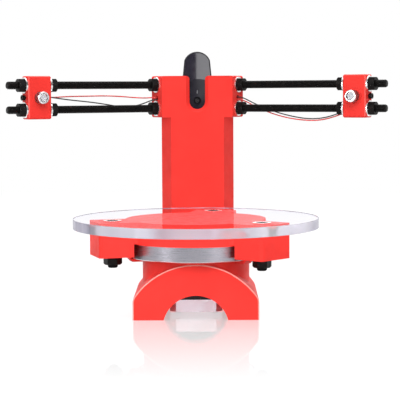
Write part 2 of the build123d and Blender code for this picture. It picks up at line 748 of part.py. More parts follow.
# Column with its plinth and head, open at the back
front_half = column_front_width / 2
head_front_half = head_front_width / 2
slot_half = slot_width / 2
board_middle = board_bottom + board_height / 2
board_holes = [
    (x * board_hole_width / 2, board_middle + z * board_hole_height / 2) for x in (-1, 1) for z in (-1, 1)
]
webcam_front = column_y + head_wall
webcam_bay = (webcam_width + 2 * guide_rib_gap, webcam_depth + 2 * guide_rib_gap)
with BuildPart() as column:
    with BuildSketch(Plane.XY.offset(head_bottom)):
        Polygon(*band_outline(head_front_half, head_band_reach), align=None)
    extrude(amount=head_height)
    outside = column.edges().filter_by(lambda e: abs(e.center().X) > head_front_half + head_edge_radius)
    fillet(outside.filter_by(lambda e: abs(e.tangent_at(0.5).Z) < 0.1), head_edge_radius)
    with BuildSketch(Plane.XY):
        Polygon(*band_outline(front_half, band_reach), align=None)
    extrude(amount=head_bottom)
    with BuildSketch(Plane.XY) as plinth:
        with Locations((0, (column_y + column_back) / 2)):
            Rectangle(plinth_width, column_depth)
        fillet(plinth.vertices().group_by(Axis.Y)[0], plinth_corner_radius)
    extrude(amount=plinth_height)
    # Hollows, from the plinth up into the head
    with BuildSketch(Plane.XY.offset(plinth_floor)):
        with Locations((0, (column_y + plinth_wall + column_back) / 2)):
            Rectangle(plinth_width - 2 * plinth_side_wall, column_depth - plinth_wall)
    extrude(amount=plinth_height - plinth_floor - column_wall, mode=Mode.SUBTRACT)
    with BuildSketch(Plane.XY.offset(plinth_height - column_wall)):
        Polygon(*band_outline(front_half, band_reach, column_wall), align=None)
    extrude(amount=head_bottom + head_plate - plinth_height + column_wall, mode=Mode.SUBTRACT)
    with BuildSketch(Plane.XY.offset(head_bottom + head_plate)):
        Polygon(*band_outline(head_front_half, head_band_reach, head_wall), align=None)
    extrude(amount=head_height - 2 * head_plate, mode=Mode.SUBTRACT)
    # Shelf and guide ribs for the webcam, and its way out at the top
    with BuildSketch(Plane.XY.offset(webcam_bottom - shelf_thickness)):
        with Locations((0, column_y + column_wall)):
            Rectangle(shelf_width, shelf_depth, align=(Align.CENTER, Align.MIN))
    extrude(amount=shelf_thickness)
    rib_x = webcam_width / 2 + guide_rib_gap + guide_rib_width / 2
    with BuildSketch(Plane.XY.offset(head_bottom + head_plate)):
        with Locations((-rib_x, webcam_front), (rib_x, webcam_front)):
            Rectangle(guide_rib_width, guide_rib_depth, align=(Align.CENTER, Align.MIN))
    extrude(amount=head_height - 2 * head_plate)
    with BuildSketch(Plane.XY.offset(head_top)):
        with Locations((0, webcam_front)):
            Rectangle(*webcam_bay, align=(Align.CENTER, Align.MIN))
    extrude(amount=-head_plate, mode=Mode.SUBTRACT)
    # Round-bottomed viewing slot with its bevelled rim
    slot_centre = slot_bottom + slot_half
    with BuildSketch(wall_plane(column_y)):
        with BuildLine():
            left = Line((-slot_half, slot_centre), (-slot_half, head_top - slot_lip_radius))
            RadiusArc(left @ 1, (-slot_half - slot_lip_radius, head_top), -slot_lip_radius)
            Line((-slot_half - slot_lip_radius, head_top), (slot_half + slot_lip_radius, head_top))
            RadiusArc(
                (slot_half + slot_lip_radius, head_top),
                (slot_half, head_top - slot_lip_radius),
                -slot_lip_radius,
            )
            Line((slot_half, head_top - slot_lip_radius), (slot_half, slot_centre))
            ThreePointArc((slot_half, slot_centre), (0, slot_bottom), left @ 0)
        make_face()
    extrude(amount=-head_wall, mode=Mode.SUBTRACT)
    with BuildSketch(wall_plane(column_y)):
        with Locations((0, (slot_bottom + head_top) / 2 + slot_half)):
            SlotOverall(
                head_top - slot_bottom + slot_width + 2 * slot_bevel,
                slot_width + 2 * slot_bevel,
                rotation=90,
            )
    extrude(amount=-slot_bevel, taper=45, mode=Mode.SUBTRACT)
    # Bosses for the controller board
    with BuildSketch(wall_plane(column_y + column_wall)):
        with Locations(*board_holes):
            Circle(boss_diameter / 2)
    extrude(amount=-boss_height)
    with BuildSketch(wall_plane(column_y + column_wall + boss_height)):
        with Locations(*board_holes):
            Circle(screw_hole)
    extrude(amount=boss_height, mode=Mode.SUBTRACT)
    # Holes for the arm rods, the laser wires and the link rods
    for side_sign in SIDES.values():
        with BuildSketch(arm_plane(side_sign)):
            with Locations((0, arm_rod_spacing / 2), (0, -arm_rod_spacing / 2)):
                Circle(hole_diameter / 2)
        with BuildSketch(arm_plane(side_sign, rise=-wire_hole_drop)):
            Circle(wire_hole_diameter / 2)
        extrude(amount=-head_wall, mode=Mode.SUBTRACT)
    with BuildSketch(wall_plane(column_y)):
        with Locations((-link_rod_spacing / 2, link_rod_height), (link_rod_spacing / 2, link_rod_height)):
            Circle(hole_diameter / 2)
    extrude(amount=-plinth_wall, mode=Mode.SUBTRACT)
keep(column.part, "column")

# Arms: two threaded rods a side, with nuts and washers at the head and at the holder
nut_starts = (
    -head_wall - nut_height,
    washer_thickness,
    arm_holder_start - washer_thickness - nut_height,
    arm_holder_start + holder_length + washer_thickness,
)
washer_starts = (
    0,
    arm_holder_start - washer_thickness,
    arm_holder_start + holder_length,
)
LEVELS = {"upper": arm_rod_spacing / 2, "lower": -arm_rod_spacing / 2}
for side_name, sign in SIDES.items():
    for level, rise in LEVELS.items():
        start = arm_plane(sign, -arm_rod_inside, rise)
        keep(threaded_rod(start, arm_rod_inside + arm_length), f"arm_rod_{side_name}_{level}")
    nuts = [hex_nut(nut_height, arm_plane(sign, a, rise)) for rise in LEVELS.values() for a in nut_starts]
    keep(group(nuts), f"arm_nuts_{side_name}")
    washers = [flat_washer(arm_plane(sign, a, rise)) for rise in LEVELS.values() for a in washer_starts]
    keep(group(washers), f"arm_washers_{side_name}")

# Laser holders, modules and clamp screws
laser_tip = holder_depth / 2 + laser_front_reach
laser_tail = -holder_depth / 2 - laser_back_reach
first_groove = holder_depth / 2 + laser_first_groove
groove_reaches = [first_groove + laser_groove_spacing * k for k in range(laser_groove_count)]
clamp_start = arm_holder_middle + laser_diameter / 2 + running_gap
clamp_head_start = arm_holder_start + holder_length + clamp_head_gap
for side_name, sign in SIDES.items():
    with BuildPart() as holder:
        with BuildSketch(arm_plane(sign, arm_holder_start)):
            Rectangle(holder_depth, holder_height)
        extrude(amount=holder_length)
        fillet(holder.edges(), holder_edge_radius)
        with BuildSketch(arm_plane(sign, arm_holder_start)):
            with Locations((0, arm_rod_spacing / 2), (0, -arm_rod_spacing / 2)):
                Circle(hole_diameter / 2)
        extrude(amount=holder_length, mode=Mode.SUBTRACT)
        with BuildSketch(laser_plane(sign)):
            Circle(laser_diameter / 2 + running_gap)
        extrude(amount=holder_depth, both=True, mode=Mode.SUBTRACT)
        with BuildSketch(arm_plane(sign, arm_holder_middle)):
            Circle(screw_hole)
        extrude(amount=holder_length, mode=Mode.SUBTRACT)
    keep(holder.part, f"laser_holder_{side_name}")

    with BuildPart() as barrel:
        with BuildSketch(laser_plane(sign, laser_tail)):
            Circle(laser_diameter / 2)
        extrude(amount=laser_tip - laser_tail)
        chamfer(barrel.edges().filter_by(GeomType.CIRCLE), laser_groove_depth)
        for reach in groove_reaches:
            with BuildSketch(laser_plane(sign, reach)):
                Circle(laser_diameter / 2)
                Circle(laser_diameter / 2 - laser_groove_depth, mode=Mode.SUBTRACT)
            extrude(amount=laser_groove_width, mode=Mode.SUBTRACT)
        with BuildSketch(laser_plane(sign, laser_tip)):
            Circle(laser_mouth_diameter / 2)
        extrude(amount=-laser_mouth_depth, mode=Mode.SUBTRACT)
    keep(barrel.part, f"laser_barrel_{side_name}")

    with BuildPart() as lens:
        with BuildSketch(laser_plane(sign, laser_tip - laser_mouth_depth)):
            Rectangle(lens_size, lens_size, rotation=lens_tilt)
        extrude(amount=lens_thickness)
    keep(lens.part, f"laser_lens_{side_name}")

    with BuildPart() as boot:
        with BuildSketch(laser_plane(sign, laser_tail)):
            Circle(boot_diameter / 2)
        extrude(amount=-boot_length)
    keep(boot.part, f"laser_boot_{side_name}")

    with BuildPart() as clamp:
        with BuildSketch(arm_plane(sign, clamp_start)):
            Circle(small_screw / 2)
        extrude(amount=clamp_head_start - clamp_start)
        with BuildSketch(arm_plane(sign, clamp_head_start)):
            Circle(small_head / 2)
        extrude(amount=small_head_height)
        with BuildSketch(arm_plane(sign, clamp_head_start + small_head_height)):
            RegularPolygon(small_socket_size / 2, 6, major_radius=False)
        extrude(amount=-small_head_height / 2, mode=Mode.SUBTRACT)
    keep(clamp.part, f"clamp_screw_{side_name}")

# Webcam in the head, seen through the slot
lens_z = webcam_bottom + lens_height
plate_arch = webcam_bottom + lens_plate_top
webcam_arch_foot = plate_arch - webcam_arch_rise
webcam_shoulder = webcam_bottom + webcam_side_height
webcam_crown = webcam_shoulder + webcam_taper_height
webcam_top = webcam_crown + webcam_crown_rise


def webcam_outline(inset):
    """Front view of the webcam: tapered at the top under a round crown."""
    half = webcam_width / 2 - inset
    crown = half - webcam_taper
    foot = webcam_bottom + inset
    top = webcam_top - inset
    with BuildSketch() as outline:
        with BuildLine():
            Polyline((-half, webcam_shoulder), (-half, foot), (half, foot), (half, webcam_shoulder))
            Line((half, webcam_shoulder), (crown, webcam_crown))
            ThreePointArc((crown, webcam_crown), (0, top), (-crown, webcam_crown))
            Line((-crown, webcam_crown), (-half, webcam_shoulder))
        make_face()
    return outline.sketch


def under_arch(rise):
    """The part of the webcam's front below the arch between its two plates."""
    half = webcam_width / 2
    foot = webcam_arch_foot + rise
    with BuildSketch() as lower:
        with BuildLine():
            Polyline((-half, foot), (-half, webcam_bottom), (half, webcam_bottom), (half, foot))
            ThreePointArc((half, foot), (0, plate_arch + rise), (-half, foot))
        make_face()
    return lower.sketch


with BuildPart() as webcam_body:
    with BuildSketch(wall_plane(webcam_front)):
        add(webcam_outline(0))
    extrude(amount=-webcam_depth)
    back = webcam_body.faces().sort_by(Axis.Y)[-1]
    back_rim = back.edges().filter_by(lambda e: e.center().Z > webcam_bottom + webcam_back_radius)
    fillet(back_rim, webcam_back_radius)
    with BuildSketch(wall_plane(webcam_front)):
        add(webcam_outline(webcam_rim))
    extrude(amount=-faceplate_thickness, mode=Mode.SUBTRACT)
keep(webcam_body.part, "webcam_body")

with BuildPart() as faceplate:
    with BuildSketch(wall_plane(webcam_front)):
        add(webcam_outline(webcam_rim + faceplate_gap))
        add(under_arch(faceplate_gap), mode=Mode.SUBTRACT)
    extrude(amount=-faceplate_thickness)
keep(faceplate.part, "webcam_faceplate")

with BuildPart() as lens_plate:
    with BuildSketch(wall_plane(webcam_front)):
        add(webcam_outline(webcam_rim + faceplate_gap))
        add(under_arch(0), mode=Mode.INTERSECT)
        with Locations((0, lens_z)):
            Circle(lens_ring_diameter / 2 + small_hole_gap, mode=Mode.SUBTRACT)
        with Locations((0, lens_z + mic_slot_rise)):
            SlotOverall(mic_slot_height, mic_slot_width, rotation=90, mode=Mode.SUBTRACT)
    extrude(amount=-faceplate_thickness)
keep(lens_plate.part, "webcam_lens_plate")

with BuildPart() as lens_ring:
    with BuildSketch(wall_plane(webcam_front + faceplate_thickness)):
        with Locations((0, lens_z)):
            Circle(lens_ring_diameter / 2)
    extrude(amount=faceplate_thickness + lens_ring_height)
    chamfer(lens_ring.edges().group_by(Axis.Y)[0], lens_ring_chamfer)
    with BuildSketch(wall_plane(webcam_front - lens_ring_height)):
        with Locations((0, lens_z)):
            Circle(lens_glass_diameter / 2 + small_hole_gap)
    extrude(amount=-lens_ring_height - faceplate_thickness, mode=Mode.SUBTRACT)
keep(lens_ring.part, "webcam_lens_ring")

with BuildPart() as lens_glass:
    with BuildSketch(wall_plane(webcam_front + faceplate_thickness)):
        with Locations((0, lens_z)):
            Circle(lens_glass_diameter / 2)
    extrude(amount=faceplate_thickness)
keep(lens_glass.part, "webcam_lens")

# Controller board and its screws
board_front = column_y + column_wall + boss_height
board_back = board_front + board_thickness
button_middle = board_bottom + button_rise
driver_middle = board_bottom + driver_rise
driver_top = driver_middle + driver_height / 2
motor_header_middle = driver_top + motor_header_gap + motor_header_height / 2
terminal_top = board_bottom + board_height - terminal_setback
with BuildPart() as board:
    with BuildSketch(wall_plane(board_front)):
        with Locations((0, board_middle)):
            Rectangle(board_width, board_height)
        with Locations(*board_holes):
            Circle(screw_hole, mode=Mode.SUBTRACT)
    extrude(amount=-board_thickness)
keep(board.part, "controller_board")

with BuildPart() as board_screws:
    with BuildSketch(wall_plane(board_back)):
        with Locations(*board_holes):
            Circle(small_head / 2)
    extrude(amount=-small_head_height)
    with BuildSketch(wall_plane(board_back + small_head_height)):
        with Locations(*board_holes):
            RegularPolygon(small_socket_size / 2, 6, major_radius=False)
    extrude(amount=small_head_height / 2, mode=Mode.SUBTRACT)
    with BuildSketch(wall_plane(board_back)):
        with Locations(*board_holes):
            Circle(small_screw / 2)
    extrude(amount=board_thickness + boss_height - board_screw_end_gap)
keep(board_screws.part, "board_screws")

# Sockets along the lower edge of the board, open at the bottom
socket_middle_y = board_back + socket_height / 2
usb_bottom = board_bottom - usb_overhang
with BuildPart() as usb:
    with BuildSketch(Plane.XY.offset(usb_bottom)):
        with Locations((usb_x, socket_middle_y)):
            Rectangle(usb_width, socket_height)
    extrude(amount=usb_length)
    with BuildSketch(Plane.XY.offset(usb_bottom)):
        with Locations((usb_x, socket_middle_y)):
            Rectangle(usb_width - 2 * socket_wall, socket_height - 2 * socket_wall)
    extrude(amount=usb_cavity_depth, mode=Mode.SUBTRACT)
    with BuildSketch(Plane.XY.offset(usb_bottom + socket_setback)):
        with Locations((usb_x, socket_middle_y)):
            Rectangle(usb_tongue_width, usb_tongue_thickness)
    extrude(amount=usb_cavity_depth - socket_setback)
keep(usb.part, "usb_socket")

jack_bottom = board_bottom - jack_overhang
with BuildPart() as jack:
    with BuildSketch(Plane.XY.offset(jack_bottom)):
        with Locations((jack_x, socket_middle_y)):
            Rectangle(jack_width, socket_height)
    extrude(amount=jack_length)
    with BuildSketch(Plane.XY.offset(jack_bottom)):
        with Locations((jack_x, socket_middle_y)):
            Circle(jack_bore / 2)
    extrude(amount=jack_bore_depth, mode=Mode.SUBTRACT)
    with BuildSketch(Plane.XY.offset(jack_bottom + socket_setback)):
        with Locations((jack_x, socket_middle_y)):
            Circle(jack_pin / 2)
    extrude(amount=jack_bore_depth - socket_setback)
keep(jack.part, "power_jack")

# Reset button between the sockets
with BuildPart() as button_housing:
    with BuildSketch(wall_plane(board_back)):
        with Locations((0, button_middle)):
            Rectangle(button_body_size, button_body_size)
    extrude(amount=-button_body_height)
    with BuildSketch(wall_plane(board_back + button_body_height)):
        with Locations((0, button_middle)):
            Circle(button_diameter / 2 + button_well_gap)
    extrude(amount=button_well_depth, mode=Mode.SUBTRACT)
keep(button_housing.part, "button_housing")

with BuildPart() as button:
    with BuildSketch(wall_plane(board_back + button_body_height - button_well_depth + button_travel)):
        with Locations((0, button_middle)):
            Circle(button_diameter / 2)
    extrude(amount=-button_well_depth + button_travel - button_reach)
    chamfer(button.edges().group_by(Axis.Y)[-1], button_edge_break)
keep(button.part, "reset_button")

# Driver shield on its header strips
shield_front = board_back + header_height
shield_back = shield_front + board_thickness
shield_middle = board_bottom + board_height - shield_height / 2
with BuildPart() as headers:
    with BuildSketch(wall_plane(board_back)):
        with Locations((-header_spacing / 2, board_middle), (header_spacing / 2, board_middle)):
            Rectangle(header_width, header_length)
    extrude(amount=-header_height)
keep(headers.part, "header_strips")

with BuildPart() as shield:
    with BuildSketch(wall_plane(shield_front)):
        with Locations((0, shield_middle)):
            Rectangle(board_width, shield_height)
    extrude(amount=-board_thickness)
keep(shield.part, "driver_shield")

driver_back = shield_back + driver_leg_height + board_thickness
leg_x = (driver_width - driver_leg_width) / 2
with BuildPart() as driver:
    with BuildSketch(wall_plane(shield_back)):
        with Locations((-leg_x, driver_middle), (leg_x, driver_middle)):
            Rectangle(driver_leg_width, driver_height)
    extrude(amount=-driver_leg_height)
    with BuildSketch(wall_plane(shield_back + driver_leg_height)):
        with Locations((0, driver_middle)):
            Rectangle(driver_width, driver_height)
    extrude(amount=-board_thickness)
    with BuildSketch(wall_plane(driver_back)):
        with Locations((0, driver_middle)):
            Rectangle(driver_chip_size, driver_chip_size)
    extrude(amount=-driver_chip_height)
keep(driver.part, "driver_module")

sink_start = driver_back + driver_chip_height
fin_pitch = (sink_width - sink_fin_thickness) / (sink_fin_count - 1)
with BuildPart() as sink:
    with BuildSketch(wall_plane(sink_start)):
        with Locations((0, driver_middle)):
            Rectangle(sink_width, sink_width)
    extrude(amount=-sink_base)
    with BuildSketch(wall_plane(sink_start + sink_base)):
        with Locations((0, driver_middle)):
            with GridLocations(fin_pitch, 1, sink_fin_count, 1):
                Rectangle(sink_fin_thickness, sink_width)
    extrude(amount=-sink_fin_height)
keep(sink.part, "driver_heat_sink")

with BuildPart() as motor_header:
    with BuildSketch(wall_plane(shield_back)):
        with Locations((0, motor_header_middle)):
            Rectangle(motor_header_width, motor_header_height)
    extrude(amount=-motor_header_height)
    with BuildSketch(wall_plane(shield_back + motor_header_height)):
        with Locations((0, motor_header_middle)):
            with GridLocations(pin_pitch, 1, pin_count, 1):
                Rectangle(pin_size, pin_size)
    extrude(amount=-pin_height)
keep(motor_header.part, "motor_header")

with BuildPart() as terminals:
    with BuildSketch(wall_plane(shield_back)):
        with Locations((0, terminal_top - terminal_height / 2)):
            with GridLocations(terminal_spacing, 1, 2, 1):
                Rectangle(terminal_width, terminal_height)
    extrude(amount=-terminal_depth)
keep(terminals.part, "laser_terminals")

# Laser wires, from each boot behind the rods, through the head and down to a terminal


def wire(corners, name):
    """One wire along straight runs joined by arcs as large as the runs allow."""
    runs = [b - a for a, b in zip(corners, corners[1:])]
    radii = []
    for before, after in zip(runs, runs[1:]):
        half_turn = math.radians(before.get_angle(after)) / 2
        radii.append(0.45 * min(before.length, after.length) / math.tan(half_turn))
    with BuildPart() as tube:
        with BuildLine() as path:
            FilletPolyline(*corners, radius=radii)
        with BuildSketch(Plane(corners[0], z_dir=runs[0])):
            Circle(wire_diameter / 2)
        sweep()
    section = math.pi * wire_diameter**2 / 4
    print(name, "radii", [round(r, 1) for r in radii])
    print(name, "runs", [round(run.length, 1) for run in runs])
    print(name, "volume", round(tube.part.volume, 2), "of", round(section * path.wire().length, 2))
    keep(tube.part, name)


# Corners near the arm: out along it, towards the turntable from it, and above its middle
left_red = [
    (136.2, -15.5, 1.6),
    (136.2, -20.0, 1.6),
    (133.4, -24.6, 1.7),
    (127.4, -26.8, 1.8),
    (119.0, -24.4, 1.6),
    (107.5, -17.6, 1.2),
    (93.5, -11.8, 1.0),
    (76.0, -9.4, 1.1),
    (57.0, -9.0, 1.4),
    (39.5, -9.2, 0.7),
    (26.5, -9.0, -0.3),
    (16.5, -7.8, -1.1),
    (9.0, -4.9, -1.2),
    (3.0, -2.0, -0.7),
    (-3.5, 0.3, -0.4),
    (-12.5, -0.8, -0.6),
]
left_black = [
    (136.2, -15.5, -1.6),
    (136.2, -20.0, -1.6),
    (133.0, -24.2, -1.5),
    (126.8, -25.8, -1.2),
    (118.5, -23.2, -0.9),
    (107.0, -16.6, -1.6),
    (93.0, -11.0, -2.9),
    (76.0, -9.0, -4.6),
    (58.5, -8.6, -6.9),
    (42.0, -9.2, -9.6),
    (29.0, -9.4, -10.4),
    (18.5, -8.8, -9.0),
    (11.0, -7.2, -6.6),
    (5.5, -4.3, -4.1),
    (0.4, -1.2, -2.9),
    (-5.5, 0.5, -2.6),
    (-12.5, -0.8, -2.8),
]
right_black = [
    (136.2, -15.5, 1.6),
    (136.2, -20.0, 1.6),
    (134.0, -24.6, 0.2),
    (129.5, -27.0, -3.4),
    (123.5, -26.5, -8.3),
    (115.5, -22.5, -13.8),
    (105.0, -16.5, -19.0),
    (92.0, -12.0, -22.8),
    (76.0, -10.2, -23.4),
    (59.0, -9.8, -20.9),
    (43.0, -9.4, -17.2),
    (29.5, -8.6, -13.0),
    (19.0, -7.6, -8.9),
    (11.5, -5.8, -5.2),
    (6.0, -3.2, -1.9),
    (0.8, -0.8, -0.6),
    (-5.5, 0.6, -0.4),
    (-12.5, -0.8, -0.6),
]
right_red = [
    (136.2, -15.5, -1.6),
    (136.2, -20.0, -1.6),
    (133.6, -24.4, -3.4),
    (128.6, -26.4, -7.2),
    (122.0, -25.4, -12.0),
    (113.5, -21.0, -17.0),
    (103.0, -15.0, -21.6),
    (90.0, -10.4, -24.9),
    (74.0, -8.6, -24.9),
    (56.0, -8.4, -22.8),
    (41.0, -8.2, -19.3),
    (28.0, -7.8, -15.2),
    (17.5, -8.0, -11.3),
    (10.5, -7.4, -7.4),
    (5.0, -4.4, -4.4),
    (0.0, -1.0, -2.9),
    (-6.0, 0.5, -2.6),
    (-12.5, -0.8, -2.8),
]

# Corners inside the column: distance from its middle plane, then the object's Y and Z
upper_drop = [
    (27.2, 216.6, 172.0),
    (23.4, 222.4, 167.0),
    (21.4, 226.8, 157.5),
    (19.9, 228.6, 145.0),
    (17.4, 226.6, 134.5),
    (14.54, 221.7, 129.3),
    (14.54, 221.7, 124.0),
]
lower_drop = [
    (25.2, 215.4, 169.8),
    (20.9, 221.0, 165.2),
    (18.6, 226.0, 156.0),
    (17.1, 228.0, 144.0),
    (13.6, 226.4, 134.0),
    (9.46, 221.7, 129.3),
    (9.46, 221.7, 124.0),
]
WIRES = {
    "laser_wire_left_red": (-1, left_red, upper_drop),
    "laser_wire_left_black": (-1, left_black, lower_drop),
    "laser_wire_right_red": (1, right_red, lower_drop),
    "laser_wire_right_black": (1, right_black, upper_drop),
}
for name, (sign, lead, drop) in WIRES.items():
    wire([arm_point(sign, *corner) for corner in lead] + [Vector(sign * x, y, z) for x, y, z in drop], name)
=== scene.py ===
"""Desktop laser scanner: finishes, wires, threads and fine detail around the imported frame."""
import json
import math
import bmesh
import bpy
from mathutils import Matrix, Vector


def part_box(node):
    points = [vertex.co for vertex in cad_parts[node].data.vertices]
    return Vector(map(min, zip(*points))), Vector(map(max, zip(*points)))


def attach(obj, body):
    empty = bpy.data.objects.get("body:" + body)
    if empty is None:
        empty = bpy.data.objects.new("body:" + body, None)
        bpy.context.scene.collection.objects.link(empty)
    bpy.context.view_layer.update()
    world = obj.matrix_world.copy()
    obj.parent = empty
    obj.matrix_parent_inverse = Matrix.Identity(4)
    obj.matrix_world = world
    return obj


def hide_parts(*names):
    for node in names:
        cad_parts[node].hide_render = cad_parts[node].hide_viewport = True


bl_info = {
    "name": "Turntable laser scanner",
    "version": (1, 0, 0),
    "blender": (4, 5, 0),
    "location": "3D View > Sidebar > Scanner",
    "description": "Dresses the scanner's frame with its finishes, wires, threads and electronics",
    "category": "Object",
}

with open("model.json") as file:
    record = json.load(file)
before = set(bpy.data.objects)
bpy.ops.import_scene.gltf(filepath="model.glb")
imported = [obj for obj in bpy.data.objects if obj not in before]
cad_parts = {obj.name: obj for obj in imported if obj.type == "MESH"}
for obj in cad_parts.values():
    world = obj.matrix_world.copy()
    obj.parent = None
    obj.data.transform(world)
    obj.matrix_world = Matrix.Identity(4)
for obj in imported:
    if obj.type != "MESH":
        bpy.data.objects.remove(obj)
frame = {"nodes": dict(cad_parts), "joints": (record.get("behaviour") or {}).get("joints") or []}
NODES = frame["nodes"]
JOINTS = {joint["name"]: joint for joint in frame["joints"]}
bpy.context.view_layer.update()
SIDES = ("left", "right")
UP = (0.0, 0.0, 1.0)
FORWARD = (0.0, -1.0, 0.0)
BACKWARD = (0.0, 1.0, 0.0)

WHITE = (1.0, 1.0, 1.0)
# Colour of the painted highlight on rounded red edges
PAINTED_EDGE_HIGHLIGHT = (1.0, 0.34, 0.3)
ACRYLIC_IOR = 1.49
LENS_IOR = 1.52


class ScannerSizes(bpy.types.PropertyGroup):
    """Sizes of the pieces that are modelled here, in metres."""

    thread_pitch: bpy.props.FloatProperty(
        name="Thread pitch", description="Rise of the rod thread in one turn", default=0.00125, unit="LENGTH"
    )
    thread_depth: bpy.props.FloatProperty(
        name="Thread depth", description="Crest to root of the rod thread", default=0.00062, unit="LENGTH"
    )
    thread_steps: bpy.props.IntProperty(
        name="Thread steps", description="Facets in one turn of the rod thread", default=14, min=8
    )
    rod_point: bpy.props.FloatProperty(
        name="Rod point", description="Length of the rounded end of a rod", default=0.0012, unit="LENGTH"
    )
    wire_diameter: bpy.props.FloatProperty(
        name="Wire diameter", description="Outer diameter of a laser wire", default=0.0013, unit="LENGTH"
    )
    holder_middle: bpy.props.FloatProperty(
        name="Holder middle", description="Distance of a laser's axis out along its arm",
        default=0.1362, unit="LENGTH"
    )
    screw_circle: bpy.props.FloatProperty(
        name="Screw circle", description="Radius of the circle of the disc's three screws",
        default=0.07, unit="LENGTH"
    )
    first_screw: bpy.props.FloatProperty(
        name="First screw", description="Angle of the disc's first screw",
        default=math.radians(-42), subtype="ANGLE"
    )
    floor_size: bpy.props.FloatProperty(
        name="Floor size", description="Side of the square floor", default=14.0, unit="LENGTH"
    )


class ScannerColours(bpy.types.PropertyGroup):
    """Colours of the main finishes."""

    red_plastic: bpy.props.FloatVectorProperty(
        name="Red plastic", description="Printed frame", subtype="COLOR", default=(0.9, 0.041, 0.032)
    )
    acrylic: bpy.props.FloatVectorProperty(
        name="Acrylic", description="Clear disc", subtype="COLOR", default=(0.955, 0.95, 0.972)
    )
    black_steel: bpy.props.FloatVectorProperty(
        name="Black steel", description="Rods, nuts and screws", subtype="COLOR",
        default=(0.0055, 0.0052, 0.0056)
    )
    zinc: bpy.props.FloatVectorProperty(
        name="Zinc", description="Washers", subtype="COLOR", default=(0.86, 0.88, 0.88)
    )
    bearing_steel: bpy.props.FloatVectorProperty(
        name="Bearing steel", description="Rings and balls", subtype="COLOR", default=(0.33, 0.322, 0.36)
    )
    webcam: bpy.props.FloatVectorProperty(
        name="Webcam", description="Glossy webcam front", subtype="COLOR", default=(0.022, 0.02, 0.032)
    )
    board_blue: bpy.props.FloatVectorProperty(
        name="Board blue", description="Controller board", subtype="COLOR", default=(0.01, 0.075, 0.2)
    )
    board_red: bpy.props.FloatVectorProperty(
        name="Board red", description="Driver boards", subtype="COLOR", default=(0.3, 0.012, 0.012)
    )


def sizes():
    """The scene's sizes."""
    return bpy.context.scene.scanner_sizes


def colours():
    """The scene's colours."""
    return bpy.context.scene.scanner_colours


# Selection and modelling helpers


def clear_selection():
    """Goes to object mode with nothing selected."""
    if bpy.context.object and bpy.context.object.mode != "OBJECT":
        bpy.ops.object.mode_set(mode="OBJECT")
    bpy.ops.object.select_all(action="DESELECT")


def only(piece):
    """Makes one piece the active and only selected object, in object mode."""
    clear_selection()
    piece.select_set(True)
    bpy.context.view_layer.objects.active = piece


def named(name):
    """Names the object that was just added, and its mesh."""
    piece = bpy.context.object
    piece.name = piece.data.name = name
    return piece


def turn_to(axis):
    """The turn that brings Z to an axis, which for Z itself is half a turn round it."""
    return Vector(axis).to_track_quat("Z", "Y")


def cylinder(name, radius, depth, place, axis=UP, sides=32):
    """A cylinder along an axis, its middle at the given place."""
    clear_selection()
    bpy.ops.mesh.primitive_cylinder_add(
        vertices=sides, radius=radius, depth=depth, location=place, rotation=turn_to(axis).to_euler()
    )
    return named(name)


def block(name, size, place):
    """A box of the given size, its middle at the given place."""
    clear_selection()
    bpy.ops.mesh.primitive_cube_add(size=1, location=place)
    piece = named(name)
    piece.scale = size
    bpy.ops.object.transform_apply(location=False, rotation=False, scale=True)
    return piece


def pick(piece, test, kind="FACE"):
    """Enters edit mode with only the faces, edges or points selected that pass the test."""
    only(piece)
    bpy.ops.object.mode_set(mode="EDIT")
    bpy.ops.mesh.select_mode(type=kind)
    bpy.ops.mesh.select_all(action="DESELECT")
    mesh = bmesh.from_edit_mesh(piece.data)
    for part in {"FACE": mesh.faces, "EDGE": mesh.edges, "VERT": mesh.verts}[kind]:
        part.select_set(test(part))
    mesh.select_flush(True)
    bmesh.update_edit_mesh(piece.data)


def facing(axis, least=0.9):
    """A test for faces whose normal points along an axis of the mesh."""
    direction = Vector(axis).normalized()
    return lambda face: face.normal.dot(direction) > least


def extrude(offset):
    """Extrudes the selected faces."""
    bpy.ops.mesh.extrude_region_move(TRANSFORM_OT_translate={"value": offset})


def narrow(share, height):
    """Draws what is selected towards the Z axis, at a height."""
    bpy.ops.transform.resize(value=(share, share, 1), center_override=(0, 0, height))


def slice_off(point, direction):
    """Cuts off what lies beyond a plane, and closes the cut."""
    bpy.ops.mesh.select_all(action="SELECT")
    bpy.ops.mesh.bisect(plane_co=point, plane_no=direction, use_fill=True, clear_outer=True)


def bevel(piece, width, segments=2, angle=40):
    """Rounds a piece's sharp edges."""
    only(piece)
    rounding = piece.modifiers.new("Rounded edges", "BEVEL")
    rounding.width = width
    rounding.segments = segments
    rounding.limit_method = "ANGLE"
    rounding.angle_limit = math.radians(angle)
    bpy.ops.object.modifier_apply(modifier=rounding.name)


def cut_away(piece, cutter):
    """Cuts the shape of a cutter out of a piece, and removes the cutter."""
    only(piece)
    cut = piece.modifiers.new("Cut", "BOOLEAN")
    cut.operation = "DIFFERENCE"
    cut.object = cutter
    bpy.ops.object.modifier_apply(modifier=cut.name)
    bpy.data.objects.remove(cutter)


def turned(piece, axis=BACKWARD):
    """Turns a piece that lies along Z to lie along an axis, and applies the turn."""
    only(piece)
    piece.rotation_euler = turn_to(axis).to_euler()
    bpy.ops.object.transform_apply(location=False, rotation=True, scale=False)
    return piece


def copy_to(source, name, start, axis=UP):
    """A copy of a piece with its own mesh, from a point along an axis."""
    copy = source.copy()
    copy.data = source.data.copy()
    copy.name = copy.data.name = name
    bpy.context.scene.collection.objects.link(copy)
    copy.matrix_world = Matrix.Translation(start) @ turn_to(axis).to_matrix().to_4x4()
    return copy


